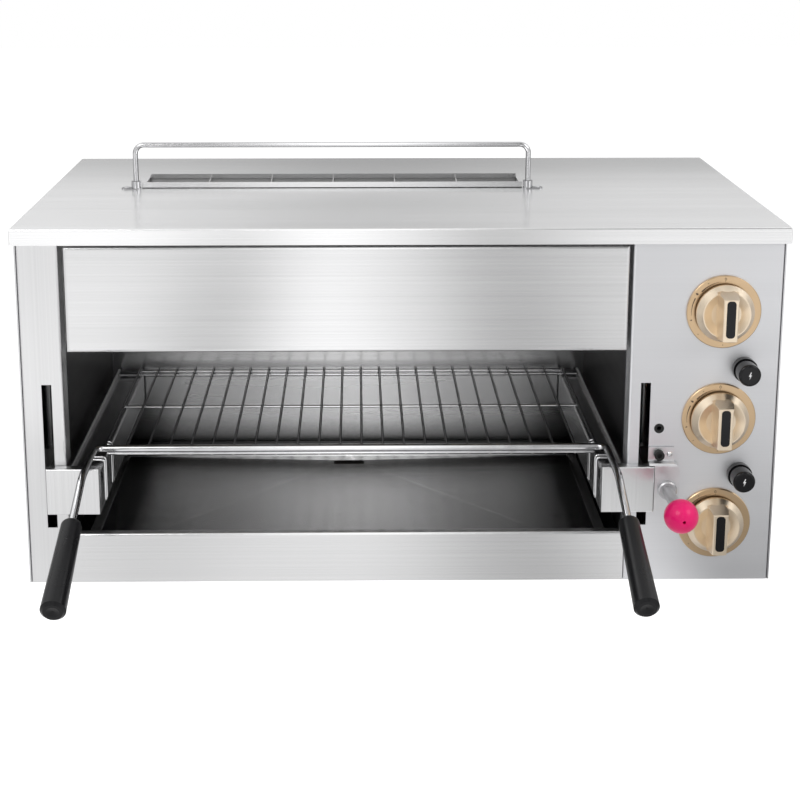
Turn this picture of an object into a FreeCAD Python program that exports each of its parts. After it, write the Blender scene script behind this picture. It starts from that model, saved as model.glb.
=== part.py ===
"""Gas salamander grill, also called a cheese melter.

The casing is folded stainless sheet around an open cooking space.  Three gas
burners hang above the space and shine down on a wire rack.  The rack slides
in two carriers, which hang on blocks that ride up and down on guide rods in
the side compartments.  Knobs, igniters and the height lever are on the right.

All sizes are in millimetres.  The origin is on the underside of the base, in
the middle of the casing.  X runs to the right, Y to the back and Z upwards.
Places are given as across, back and up: back is the distance behind the front
face, and the function place turns it into Y.
"""
import FreeCAD
import Part
import math
import os

# Casing
body_width = 800.0
body_depth = 450.0
body_height = 390.0
post_width = 45.0
panel_width = 159.0
sheet = 1.5
bend = 1.5
fit_gap = 0.3
overrun = 5.0
cap_flange = 17.0
cap_overhang = 4.0
cap_rear_overhang = 2.0
side_flange = 9.0
post_side_flange = 18.0
base_flange = 12.0
base_vent_length = 60.0
base_vent_width = 6.0
base_vent_pitch = 14.0
base_vent_rows = 5
base_vent_across_shares = (-0.3, 0.0, 0.3)
base_vent_back = 120.0

# Opening for the food, between the left post and the control panel
opening_bottom = 55.5
opening_drop = 133.0
post_return = 24.0
lip_fold = 12.0
slot_inset = 12.5
slot_width = 10.5
slot_bottom = 63.0
slot_drop = 34.5

# Hood front, a removable panel between the posts
hood_gap_left = 4.5
hood_gap_right = 3.0
hood_top_gap = 1.5
hood_depth = 22.0
hood_lip = 14.0
hood_bend = 2.5

# Liner of the cooking space
liner_sheet = 1.2
liner_gap = 5.0
liner_back = 365.0
deck_rise = 5.0
deck_rear_flange = 40.0
strip_width = 23.0
strip_gap = 2.0
strip_sheet = 1.0
strip_rivet_radius = 2.0
strip_rivet_height = 1.0
strip_rivet_level_shares = (0.12, 0.5, 0.88)

# Top flue and gallery rail
gallery_left_inset = 52.0
gallery_right_inset = 87.0
gallery_back = 228.0
gallery_height = 52.0
gallery_wire = 3.0
gallery_bend = 10.0
gallery_foot_length = 17.0
gallery_foot_width = 11.0
gallery_foot_sheet = 1.5
gallery_ferrule_radius = 5.5
gallery_ferrule_height = 8.0
gallery_screw_radius = 3.6
gallery_screw_share = 0.65
foot_corner_share = 0.6
rail_fit = 0.1
gallery_screw_height = 2.2
flue_side_gap = 6.0
flue_front = 233.0
flue_rear = 310.0
flue_lip = 7.0
flue_lip_back = 4.0
duct_front = 248.0
duct_sheet = 1.0
duct_dividers = 5
duct_margin = 2.0

# Rear panel
rear_vent_length = 70.0
rear_vent_width = 5.0
rear_vent_pitch = 13.0
rear_vent_rows = 6
rear_vent_across_shares = (-0.28, 0.0, 0.28)
rear_vent_drop = 100.0
bracket_hole_radius = 4.25
bracket_hole_across = 250.0
bracket_hole_drop = 140.0
bracket_hole_pitch = 120.0
casing_screw_radius = 3.6
casing_screw_height = 2.2
casing_screw_inset = 14.0
casing_screw_level_shares = (0.06, 0.5, 0.9)

# Burners
burner_count = 3
burner_margin = 5.5
burner_gap = 19.0
burner_length = 196.0
burner_front = 42.0
burner_height = 60.0
burner_wall = 1.5
burner_flange = 6.0
burner_flange_sheet = 1.5
ceramic_thickness = 13.0
screen_thickness = 2.0
screen_frame = 8.0
screen_bars = 6
screen_bar_width = 3.0
screen_ledge = 6.0
venturi_radius = 13.0
venturi_wall = 2.0
venturi_length = 120.0
venturi_mouth_radius = 17.0
venturi_mouth_length = 14.0
venturi_inset = 28.0
venturi_rise = 16.0
neck_radius = 11.0

# Gas way
tap_radius = 12.0
tap_front = 10.0
tap_length = 40.0
tap_post_radius = 2.5
tap_post_offset = 9.0
tap_bore_depth = 30.0
tap_inlet_radius = 7.0
tap_inlet_end = 23.0
tap_outlet_radius = 5.0
tap_outlet_end = 19.0
gas_back = 36.0
manifold_inset = 22.0
manifold_radius = 7.0
manifold_level = 40.0
manifold_bend = 20.0
manifold_over_top = 14.0
inlet_radius = 10.48
inlet_bore = 7.5
inlet_neck_radius = 9.5
inlet_stick_out = 25.0
inlet_nut_radius = 12.5
inlet_nut_length = 10.0
inlet_hole_gap = 0.5
feed_radius = 3.0
feed_bend = 6.0
feed_lane_pitch = 14.0
feed_riser_pitch = 10.0
feed_riser_offset = 29.0
injector_radius = 5.5
injector_length = 14.0
injector_back = 48.0
injector_shoulder_share = 0.6
injector_rib = 3.0
electrode_radius = 3.5
electrode_back = 28.5
electrode_below = 8.0
electrode_length = 40.0
electrode_tip_radius = 1.0
electrode_tip_length = 20.0
electrode_tip_bend = 3.0
thermocouple_radius = 2.5
thermocouple_below = 6.0
thermocouple_length = 30.0
thermocouple_offset = 45.0

# Lift: carriages on guide rods, and the blocks and carriers in front
guide_inset = 29.0
guide_radius = 5.0
guide_front = 70.0
guide_pitch = 280.0
guide_bottom = 6.0
guide_drop = 5.0
guide_foot_height = 34.0
guide_foot_half = 10.0
guide_bracket_sheet = 4.0
guide_bracket_drop = 18.0
guide_bracket_wall = 2.0
plate_gap = 8.5
plate_thickness = 5.0
plate_back = 395.0
bush_half_length = 11.0
bush_reach = 10.0
plate_windows = 3
window_inset = 12.0
window_gap = 16.0
window_corner = 6.0
tie_bar_back = 380.0
tie_bar_thickness = 6.0
tie_bar_height = 26.0
block_inset = 31.5
block_width = 56.0
block_bottom = 82.0
block_top = 133.0
block_reach = 12.0
block_sheet = 2.0
block_bend = 1.5
block_stand_off = 0.5
rack_offset = 4.0
channel_clearance = 3.5
channel_lip = 3.0
channel_sheet = 1.5
channel_web_level = 127.5
channel_end = 356.0
skirt_window_front = 3.0
skirt_window_length = 12.0
skirt_window_height = 11.0
skirt_window_margin = 2.5

# Height lever on the right hand block
arm_sheet = 3.0
arm_width = 26.5
arm_corner = 9.0
arm_shelf_level = 134.0
arm_index_gap = 0.7
arm_index_inset = 6.1
arm_index_width = 27.4
arm_index_top = 152.0
arm_bend = 1.0
lever_offset = 13.5
lever_level = 108.0
lever_collar_radius = 10.0
lever_collar_length = 6.0
lever_collar_edge = 1.2
lever_rod_radius = 6.0
lever_rod_end = 80.0
lever_ball_radius = 17.5
lever_ball_out = 88.0
lever_ball_hole_radius = 1.75
lever_ball_hole_depth = 8.0
plunger_offset = 4.9
plunger_level = 144.4
plunger_radius = 5.3
plunger_length = 6.0
plunger_socket_radius = 2.6
plunger_socket_depth = 3.0
plunger_nose_radius = 2.0
arm_screw_offset = 16.5
arm_screw_radius = 3.0
arm_screw_height = 1.8
detent_pitch = 27.5
detent_radius = 5.3
detent_bore = 2.5
detent_head = 0.3
detent_length = 8.0
detent_body_radius = 4.0

# Wire rack
rack_front = 41.0
rack_rear = 340.0
rack_wires = 24
rack_wire_radius = 1.5
rack_wire_inset = 30.05
weld_sink = 0.3
cross_wire_radius = 1.75
cross_wire_overhang = 2.6
cross_wire_back = 193.0
front_wire_back = 40.0
front_wire_radius = 1.5
front_wire_clearance = 1.5
rear_wire_radius = 2.25
runner_wire_radius = 2.5
handle_wire_radius = 4.0
handle_inset = 20.0
handle_corner = 9.0
handle_knee_out = 45.0
handle_knee_bend = 60.0
handle_slope = 20.0
grip_start_out = 112.0
grip_length = 122.0
grip_start_radius = 10.5
grip_end_radius = 12.5
grip_shoulder = 5.0
grip_edge = 3.0
grip_dish = 2.0
grip_bore_depth = 90.0
grip_bore_gap = 0.1
loop_inset = 35.5
frame_loop_back = 8.0
grid_loop_back = 57.0
loop_half = 4.0
loop_bottom = 92.0
loop_wire_radius = 1.3
loop_bend = 3.5
rail_end_gap = 1.0

# Drip tray and what carries it
tray_inset = 10.0
tray_sheet = 1.2
tray_front = 16.0
tray_rear = 358.0
tray_rim = 34.0
tray_edge_level = 19.0
tray_middle_level = 15.0
tray_slope = 6.0
tray_lip = 8.0
drain_length = 38.0
drain_width = 14.0
drain_back = 331.0
tray_rail_gap = 3.0
tray_rail_sheet = 1.5
tray_rail_height = 14.0
tray_rail_front = 40.0
tray_rail_rear = 350.0
cup_length = 90.0
cup_width = 46.0
cup_height = 9.0
cup_wall = 1.0

# Knobs, their bezels and the igniters
knob_inset = 63.0
knob_top_drop = 90.0
knob_low_level = 66.0
bezel_pitch_share = 0.3333
bezel_thickness = 3.0
bezel_edge = 0.8
bezel_bore = 5.0
knob_lift_off = 3.4
knob_radius = 30.5
knob_skirt = 3.0
knob_rim_radius = 25.0
knob_rim = 10.5
knob_rim_width = 1.0
knob_scoop_share = 0.62
knob_scoop_sink = 3.6
knob_floor = 5.6
knob_face = 35.0
knob_bar_root_half = 10.5
knob_bar_half = 7.6
knob_bar_flare = 2.0
knob_bar_face_flare = 0.4
knob_bar_flare_share = 0.7
knob_bar_reach = 27.0
knob_bar_taper = 2.6
knob_bar_top_slope = 3.4
knob_bar_edge = 0.8
knob_insert_half_width = 4.6
knob_insert_half_length = 19.5
knob_insert_depth = 3.0
knob_insert_proud = 0.6
insert_round_share = 0.8
spindle_flat_share = 0.6
spindle_radius = 4.0
spindle_front = 21.0
spindle_rear = 30.0
spindle_gap = 0.2
collar_radius = 5.6
collar_front = 2.0
collar_length = 3.0
igniter_inset = 38.5
igniter_drop = 3.6
igniter_ring_radius = 13.0
igniter_ring_length = 8.0
igniter_floor = 1.0
igniter_cap_radius = 11.75
igniter_cap_front = 28.0
igniter_cap_edge = 2.5
igniter_stem_radius = 5.0
igniter_stem_rear = 30.0
igniter_body_radius = 8.5
igniter_body_length = 45.0

# Levels and places that follow from the sizes above
top_level = body_height
cap_bottom = top_level - cap_flange
roof_level = top_level - sheet
half_width = body_width / 2
inside_half = half_width - sheet
rear_face = body_depth - sheet
panel_left = half_width - panel_width
post_right = post_width - half_width
cavity_across = (panel_left + post_right) / 2
opening_half = (panel_left - post_right) / 2
opening_top = body_height - opening_drop
slot_inner = opening_half + slot_inset
slot_outer = slot_inner + slot_width
slot_top = opening_top - slot_drop
liner_half = opening_half + liner_gap
liner_outer = liner_half + liner_sheet
strip_outer = liner_half - strip_gap
strip_inner = strip_outer - strip_width
deck_level = opening_top + deck_rise
deck_top = deck_level + liner_sheet
gallery_left = post_right + gallery_left_inset
gallery_right = panel_left - gallery_right_inset
rear_vent_level = body_height - rear_vent_drop
bracket_hole_top = body_height - bracket_hole_drop
bracket_hole_levels = (bracket_hole_top - bracket_hole_pitch, bracket_hole_top)
burner_pitch = 2 * (opening_half - burner_margin) / burner_count
burner_width = burner_pitch - burner_gap
guide_across = opening_half + guide_inset
guide_backs = (guide_front, guide_front + guide_pitch)
guide_top = opening_top - guide_drop
plate_inner = liner_half + plate_gap
plate_outer = plate_inner + plate_thickness
block_inner = opening_half - block_inset
block_outer = block_inner + block_width
block_rear = -block_stand_off
rack_across = cavity_across + rack_offset
block_right = rack_across + block_outer
arm_index_left = block_right - arm_index_inset
arm_index_right = arm_index_left + arm_index_width
lever_across = block_right + lever_offset
plunger_across = block_right + plunger_offset
arm_screw_across = block_right + arm_screw_offset
rack_wire_half_span = opening_half - rack_wire_inset
rack_wire_level = block_top + fit_gap + 2 * cross_wire_radius - weld_sink + rack_wire_radius
handle_half_span = opening_half - handle_inset
loop_across = opening_half - loop_inset
loop_backs = (frame_loop_back, grid_loop_back)
tray_half = opening_half - tray_inset
tray_rail_inner = tray_half + tray_rail_gap
manifold_across = half_width - manifold_inset
knob_across = half_width - knob_inset
knob_top_level = body_height - knob_top_drop
knob_pitch = (knob_top_level - knob_low_level) / 2
knob_levels = (knob_top_level, knob_low_level + knob_pitch, knob_low_level)
bezel_radius = knob_pitch * bezel_pitch_share
igniter_across = half_width - igniter_inset
igniter_levels = tuple(level - knob_pitch / 2 - igniter_drop for level in knob_levels[:-1])


def place(across, back, up):
    """A point from its distances across, behind the front face and up."""
    return FreeCAD.Vector(across, back - body_depth / 2, up)


def box(across, back, up):
    """A block between two places on each of the three directions."""
    corner = place(min(across), min(back), min(up))
    spans = [max(pair) - min(pair) for pair in (across, back, up)]
    return Part.makeBox(spans[0], spans[1], spans[2], corner)


def rod(radius, start, end):
    """A round bar from one place to another."""
    first = place(*start)
    along = place(*end) - first
    return Part.makeCylinder(radius, along.Length, first, along)


def tube(radius, bore, start, end):
    """A round bar with a bore all the way through."""
    return rod(radius, start, end).cut(rod(bore, start, end))


def joined(pieces):
    """One solid from pieces that meet or overlap."""
    whole = pieces[0]
    if len(pieces) > 1:
        whole = whole.multiFuse(pieces[1:])
    return whole.removeSplitter()


def turned(corners, start, direction):
    """A solid of revolution: corners are (distance along the axis, radius)."""
    axis = FreeCAD.Vector(*direction)
    axis.normalize()
    helper = FreeCAD.Vector(0, 0, 1)
    if abs(axis.z) > abs(axis.x) and abs(axis.z) > abs(axis.y):
        helper = FreeCAD.Vector(1, 0, 0)
    outward = axis.cross(helper)
    outward.normalize()
    origin = place(*start)
    points = [origin + axis * along + outward * radius for along, radius in corners]
    face = Part.Face(Part.makePolygon(points + points[:1]))
    return face.revolve(origin, axis, 360)


def rounded_edges(corners, radii, closed):
    """Straight edges with a tangent arc at each corner that has a radius."""
    count = len(corners)
    entries = []
    for index, corner in enumerate(corners):
        radius = radii[index]
        inner = closed or 0 < index < count - 1
        if not inner or radius <= 0:
            entries.append((corner, corner, None))
            continue
        before = corners[index - 1] - corner
        after = corners[(index + 1) % count] - corner
        before.normalize()
        after.normalize()
        half_angle = before.getAngle(after) / 2
        reach = radius / math.tan(half_angle)
        middle = before + after
        middle.normalize()
        to_middle = radius / math.sin(half_angle) - radius
        entries.append((corner + before * reach, corner + after * reach, corner + middle * to_middle))
    edges = []
    last = count if closed else count - 1
    for index in range(count):
        start, end, middle = entries[index]
        if middle is not None:
            edges.append(Part.Arc(start, middle, end).toShape())
        if index < last:
            following = entries[(index + 1) % count][0]
            if (following - end).Length > Part.Precision.confusion():
                edges.append(Part.LineSegment(end, following).toShape())
    return edges


def lifted(axis, corner, level):
    """Turn a corner of a flat outline into a place in space."""
    first, second = corner
    if axis == "across":
        return place(level, first, second)
    if axis == "back":
        return place(first, level, second)
    return place(first, second, level)


def prism(axis, corners, radii, low, high):
    """Push a flat outline along one direction, with rounded corners."""
    points = [lifted(axis, corner, low) for corner in corners]
    wire = Part.Wire(rounded_edges(points, radii, True))
    solid = Part.Face(wire).extrude(lifted(axis, (0, 0), high) - lifted(axis, (0, 0), low))
    if solid.Volume < 0:
        solid.reverse()
    return solid


def even(corners, radius=0):
    """The same rounding for every corner."""
    return [radius] * len(corners)


def folded(axis, path, thickness, inside_bend, low, high):
    """Folded sheet: the path is its outer face, the metal lies to its left.

    A negative thickness puts the metal to the right of the path.
    """
    offset = []
    radii_outer = []
    radii_inner = []
    count = len(path)
    for index, (first, second) in enumerate(path):
        sides = []
        if index > 0:
            sides.append((first - path[index - 1][0], second - path[index - 1][1]))
        if index < count - 1:
            sides.append((path[index + 1][0] - first, path[index + 1][1] - second))
        normals = []
        for run_first, run_second in sides:
            length = math.hypot(run_first, run_second)
            normals.append((-run_second / length, run_first / length))
        if len(normals) == 1:
            shift = normals[0]
            radii_outer.append(0)
            radii_inner.append(0)
        else:
            one, two = normals
            share = 1 / (1 + one[0] * two[0] + one[1] * two[1])
            shift = ((one[0] + two[0]) * share, (one[1] + two[1]) * share)
            turn = sides[0][0] * sides[1][1] - sides[0][1] * sides[1][0]
            metal_inside = turn * thickness > 0
            wide = inside_bend + abs(thickness)
            radii_outer.append(wide if metal_inside else inside_bend)
            radii_inner.append(inside_bend if metal_inside else wide)
        offset.append((first + shift[0] * thickness, second + shift[1] * thickness))
    corners = list(path) + offset[::-1]
    radii = radii_outer + radii_inner[::-1]
    return prism(axis, corners, radii, low, high)


def bent_wire(radius, corners, bend_radii):
    """A round wire that follows straight runs joined by tangent arcs."""
    points = [place(*corner) for corner in corners]
    path = Part.Wire(rounded_edges(points, bend_radii, False))
    along = points[1] - points[0]
    ring = Part.Wire(Part.Circle(points[0], along, radius).toShape())
    return path.makePipeShell([ring], True, False)


def upright_edges(shape):
    """The straight edges of a solid that stand upright."""
    found = []
    for edge in shape.Edges:
        if len(edge.Vertexes) == 2:
            run = edge.Vertexes[1].Point - edge.Vertexes[0].Point
            if abs(run.z) > fit_gap and abs(run.x) + abs(run.y) < Part.Precision.confusion():
                found.append(edge)
    return found


def base_panel():
    """Flat base with three turned up edges and rows of air slots."""
    front = sheet
    rear = rear_face
    flange_front = post_return + fit_gap
    plate = box((-inside_half, inside_half), (front, rear), (0, sheet))
    flanges = []
    for side in (-1, 1):
        edge = (side * inside_half, side * (inside_half - sheet))
        flanges.append(box(edge, (flange_front, rear), (0, base_flange)))
    flanges.append(box((-inside_half, inside_half), (rear - sheet, rear), (0, base_flange)))
    front_strip = (post_right + post_return, panel_left - post_return)
    flanges.append(box(front_strip, (front, front + sheet), (0, base_flange)))
    panel = joined([plate] + flanges)
    slots = []
    for share in base_vent_across_shares:
        middle = share * body_width
        across = (middle - base_vent_length / 2, middle + base_vent_length / 2)
        for row in range(base_vent_rows):
            back = base_vent_back + row * base_vent_pitch
            slots.append(box(across, (back, back + base_vent_width), (-overrun, sheet + overrun)))
    return panel.cut(slots)


def side_panel(side):
    """Side sheet with a folded top edge and a folded rear edge."""
    outer = side * half_width
    top = folded("back", [(outer, 0), (outer, roof_level), (outer - side * lip_fold, roof_level)],
                 side * sheet, bend, 0, rear_face)
    rear = box((outer - side * sheet, outer - side * (sheet + side_flange)),
               (rear_face - sheet, rear_face), (base_flange + fit_gap, roof_level - lip_fold))
    return joined([top, rear])


def front_fold(outer, inner, side):
    """Front sheet of a post or panel, folded back at both edges."""
    path = [(outer, post_side_flange), (outer, 0), (inner, 0), (inner, post_return)]
    shape = folded("up", path, side * sheet, bend, 0, roof_level - sheet - bend)
    clear = box((-half_width, half_width), (sheet, post_return + overrun), (-overrun, sheet))
    return shape.cut(clear)


def lift_slot(side):
    """The cutter for the upright slot that a block rides in."""
    across = (cavity_across + side * slot_inner, cavity_across + side * slot_outer)
    return box(across, (-overrun, sheet + bend), (slot_bottom, slot_top))


def left_front_post():
    """Folded front sheet left of the opening, with its lift slot."""
    return front_fold(-inside_half, post_right, 1).cut(lift_slot(-1))


def control_panel():
    """Right hand front sheet with the holes for everything that is on it."""
    panel = front_fold(inside_half, panel_left, -1)
    holes = [lift_slot(1)]
    for level in knob_levels:
        holes.append(rod(bezel_bore, (knob_across, -overrun, level), (knob_across, overrun, level)))
    for level in igniter_levels:
        radius = igniter_body_radius + spindle_gap
        holes.append(rod(radius, (igniter_across, -overrun, level), (igniter_across, overrun, level)))
    for level in detent_levels():
        radius = detent_body_radius + spindle_gap
        holes.append(rod(radius, (plunger_across, -overrun, level), (plunger_across, overrun, level)))
    return panel.cut(holes)


def detent_levels():
    """Heights of the holes that the lever's plunger drops into."""
    return (plunger_level, plunger_level + detent_pitch)


def lower_front_panel():
    """Low front sheet with its top edge folded back."""
    path = [(0, 0), (0, opening_bottom), (lip_fold, opening_bottom),
            (lip_fold, opening_bottom - lip_fold / 2)]
    across = (post_right + fit_gap, panel_left - fit_gap)
    return folded("across", path, -sheet, bend, across[0], across[1])


def hood_front_panel():
    """Hood front with folded sides, a folded top and a folded bottom lip."""
    left = post_right + hood_gap_left
    right = panel_left - hood_gap_right
    top = cap_bottom - hood_top_gap
    path = [(hood_depth, opening_top + hood_lip), (hood_depth, opening_top), (0, opening_top),
            (0, top), (lip_fold, top)]
    front = folded("across", path, -sheet, hood_bend, left, right)
    rear = hood_depth - sheet
    side_outline = [(0, opening_top), (rear, opening_top), (rear, top), (0, top)]
    side_radii = [hood_bend + sheet, 0, 0, hood_bend + sheet]
    ends = []
    for edge, side in ((left, 1), (right, -1)):
        ends.append(prism("across", side_outline, side_radii, edge, edge + side * sheet))
    whole = joined([front] + ends)
    outline = [(left, 0), (right, 0), (right, hood_depth), (left, hood_depth)]
    radii = [hood_bend + sheet, hood_bend + sheet, 0, 0]
    bounds = prism("up", outline, radii, opening_top - overrun, top + overrun)
    return whole.common(bounds)


def rear_panel():
    """Rear sheet with air slots, the inlet hole and the wall bracket holes."""
    panel = box((-half_width, half_width), (rear_face, body_depth), (0, roof_level))
    cuts = []
    for share in rear_vent_across_shares:
        middle = share * body_width
        across = (middle - rear_vent_length / 2, middle + rear_vent_length / 2)
        for row in range(rear_vent_rows):
            level = rear_vent_level + row * rear_vent_pitch
            cuts.append(box(across, (rear_face - overrun, body_depth + overrun),
                            (level, level + rear_vent_width)))
    for across in (-bracket_hole_across, bracket_hole_across):
        for level in bracket_hole_levels:
            cuts.append(rod(bracket_hole_radius, (across, rear_face - overrun, level),
                            (across, body_depth + overrun, level)))
    radius = inlet_radius + inlet_hole_gap
    cuts.append(rod(radius, (manifold_across, rear_face - overrun, manifold_level),
                    (manifold_across, body_depth + overrun, manifold_level)))
    return panel.cut(cuts)


def top_cap():
    """Folded lid with a flue opening that has an upstanding front lip."""
    across = (-half_width - cap_overhang, half_width + cap_overhang)
    back = (-cap_overhang, body_depth + cap_rear_overhang)
    outer = box(across, back, (cap_bottom, top_level))
    outer = outer.makeFillet(bend, upright_edges(outer))
    rim = [edge for edge in outer.Edges if edge.BoundBox.ZMin > top_level - fit_gap]
    outer = outer.makeFillet(bend, rim)
    inner = box((across[0] + sheet, across[1] - sheet), (back[0] + sheet, back[1] - sheet),
                (cap_bottom - overrun, roof_level))
    lid = outer.cut(inner)
    flue = (gallery_left + flue_side_gap, gallery_right - flue_side_gap)
    lid = lid.cut(box(flue, (flue_front, flue_rear), (cap_bottom, top_level + overrun)))
    front_lip = box(flue, (flue_front, flue_front + sheet), (roof_level, top_level + flue_lip))
    rear_lip = box(flue, (flue_rear - sheet, flue_rear), (roof_level, top_level + flue_lip_back))
    return joined([lid, front_lip, rear_lip])


def gallery_rail():
    """Bent wire rail that stands over the flue."""
    seat = top_level + gallery_foot_sheet
    high = top_level + gallery_height
    corners = [(gallery_left, gallery_back, seat), (gallery_left, gallery_back, high),
               (gallery_right, gallery_back, high), (gallery_right, gallery_back, seat)]
    return bent_wire(gallery_wire, corners, [0, gallery_bend, gallery_bend, 0])


def gallery_feet():
    """A foot plate with a ferrule under each leg of the rail."""
    feet = []
    top = top_level + gallery_foot_sheet
    for leg, side in ((gallery_left, -1), (gallery_right, 1)):
        half = gallery_foot_width / 2
        near = leg - side * half
        far = leg + side * gallery_foot_length
        outline = [(near, gallery_back - half), (far, gallery_back - half),
                   (far, gallery_back + half), (near, gallery_back + half)]
        corner = half * foot_corner_share
        plate = prism("up", outline, even(outline, corner), top_level, top)
        ferrule = tube(gallery_ferrule_radius, gallery_wire + rail_fit, (leg, gallery_back, top),
                       (leg, gallery_back, top + gallery_ferrule_height))
        feet.append(joined([plate, ferrule]))
    return feet


def dome_screw(start, direction, radius, height):
    """A low domed screw head, given by the arc of its top."""
    curve = (radius ** 2 + height ** 2) / (2 * height)
    axis = FreeCAD.Vector(*direction)
    outward = FreeCAD.Vector(1, 0, 0)
    seat = place(*start)
    middle = seat + axis * (height - curve)
    half_angle = math.asin(radius / curve) / 2
    halfway = middle + axis * (curve * math.cos(half_angle)) + outward * (curve * math.sin(half_angle))
    top = seat + axis * height
    rim = seat + outward * radius
    edges = [Part.LineSegment(seat, top).toShape(), Part.Arc(top, halfway, rim).toShape(),
             Part.LineSegment(rim, seat).toShape()]
    return Part.Face(Part.Wire(edges)).revolve(seat, axis, 360)


def gallery_screws():
    """Screws that hold the feet of the rail on the lid."""
    top = top_level + gallery_foot_sheet
    out = gallery_foot_length * gallery_screw_share
    places = [(gallery_left - out, gallery_back, top), (gallery_right + out, gallery_back, top)]
    return [dome_screw(spot, (0, 0, 1), gallery_screw_radius, gallery_screw_height) for spot in places]


def casing_screws():
    """Screw heads that hold the rear panel."""
    screws = []
    for side in (-1, 1):
        across = side * (half_width - casing_screw_inset)
        for share in casing_screw_level_shares:
            spot = (across, body_depth, share * roof_level)
            screws.append(dome_screw(spot, (0, 1, 0), casing_screw_radius, casing_screw_height))
    return screws


def liner_side(side):
    """Side wall of the cooking space with a front edge folded inwards."""
    wall = cavity_across + side * liner_outer
    lip = cavity_across + side * opening_half
    front = post_return + fit_gap
    path = [(wall, liner_back), (wall, front), (lip, front)]
    return folded("up", path, -side * liner_sheet, bend, sheet, deck_level)


def liner_rear():
    """Rear wall of the cooking space with its riveted corner strips."""
    across = (cavity_across - liner_outer, cavity_across + liner_outer)
    return box(across, (liner_back, liner_back + liner_sheet), (sheet, deck_level))


def corner_strips():
    """Upright cover strips in the rear corners, with their rivets."""
    strips = []
    for side in (-1, 1):
        across = (cavity_across + side * strip_inner, cavity_across + side * strip_outer)
        face = liner_back - strip_sheet
        strip = box(across, (face, liner_back), (tray_rim + lip_fold, deck_level))
        rivets = []
        for share in strip_rivet_level_shares:
            level = tray_rim + lip_fold + share * (deck_level - tray_rim - lip_fold)
            across_rivet = cavity_across + side * (strip_inner + strip_outer) / 2
            rivets.append(dome_screw((across_rivet, face, level), (0, -1, 0),
                                     strip_rivet_radius, strip_rivet_height))
        strips.append(joined([strip] + rivets))
    return strips


def burner_middles():
    """Across places of the three burners."""
    first = cavity_across - burner_pitch * (burner_count - 1) / 2
    return [first + index * burner_pitch for index in range(burner_count)]


def burner_deck():
    """Roof of the cooking space, with openings for burners and flue gas."""
    across = (cavity_across - liner_outer, cavity_across + liner_outer)
    path = [(hood_depth, roof_level), (hood_depth, deck_level),
            (liner_back + liner_sheet, deck_level),
            (liner_back + liner_sheet, deck_level + deck_rear_flange)]
    deck = folded("across", path, liner_sheet, bend, across[0], across[1])
    cuts = []
    for middle in burner_middles():
        half = burner_width / 2 - screen_ledge
        cuts.append(box((middle - half, middle + half),
                        (burner_front + screen_ledge, burner_front + burner_length - screen_ledge),
                        (deck_level - overrun, deck_level + overrun)))
        cuts.append(rod(thermocouple_radius + fit_gap,
                        (middle + thermocouple_offset, electrode_back, deck_level - overrun),
                        (middle + thermocouple_offset, electrode_back, deck_level + overrun)))
    for middle in electrode_middles():
        cuts.append(rod(electrode_radius + fit_gap, (middle, electrode_back, deck_level - overrun),
                        (middle, electrode_back, deck_level + overrun)))
    duct = duct_inside()
    cuts.append(box(duct, (duct_front + duct_sheet, flue_rear + duct_margin - duct_sheet),
                    (deck_level - overrun, deck_level + overrun)))
    for side in (-1, 1):
        notch = (cavity_across + side * (opening_half - fit_gap),
                 cavity_across + side * (liner_outer + overrun))
        cuts.append(box(notch, (0, post_return + fit_gap), (deck_level - overrun, roof_level + overrun)))
    return deck.cut(cuts)


def electrode_middles():
    """An electrode stands between each two burners that are side by side."""
    return [cavity_across + step * burner_pitch / 2 for step in (-1, 1)]


def duct_inside():
    """Across limits of the inside of the flue duct."""
    left = gallery_left + flue_side_gap - duct_margin + duct_sheet
    right = gallery_right - flue_side_gap + duct_margin - duct_sheet
    return (left, right)


def flue_duct():
    """Sheets of the duct from the deck up to the opening in the lid, and its dividers."""
    left, right = duct_inside()
    rear = flue_rear + duct_margin
    top_front = flue_front - duct_margin
    side = [(duct_front, deck_top), (rear, deck_top), (rear, roof_level), (top_front, roof_level)]
    front = [(duct_front, deck_top), (duct_front + duct_sheet, deck_top),
             (top_front + duct_sheet, roof_level), (top_front, roof_level)]
    slope = (top_front - duct_front) / (roof_level - deck_top)
    low_front = duct_front + duct_sheet + slope * venturi_rise
    blade = [(low_front, deck_top + venturi_rise), (rear - duct_sheet, deck_top + venturi_rise),
             (rear - duct_sheet, roof_level), (top_front + duct_sheet, roof_level)]
    pieces = [prism("across", side, even(side), left - duct_sheet, left),
              prism("across", side, even(side), right, right + duct_sheet),
              prism("across", front, even(front), left, right),
              box((left, right), (rear - duct_sheet, rear), (deck_top, roof_level))]
    step = (right - left) / (duct_dividers + 1)
    for index in range(1, duct_dividers + 1):
        across = left + index * step
        pieces.append(prism("across", blade, even(blade), across - duct_sheet / 2, across + duct_sheet / 2))
    return pieces


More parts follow.
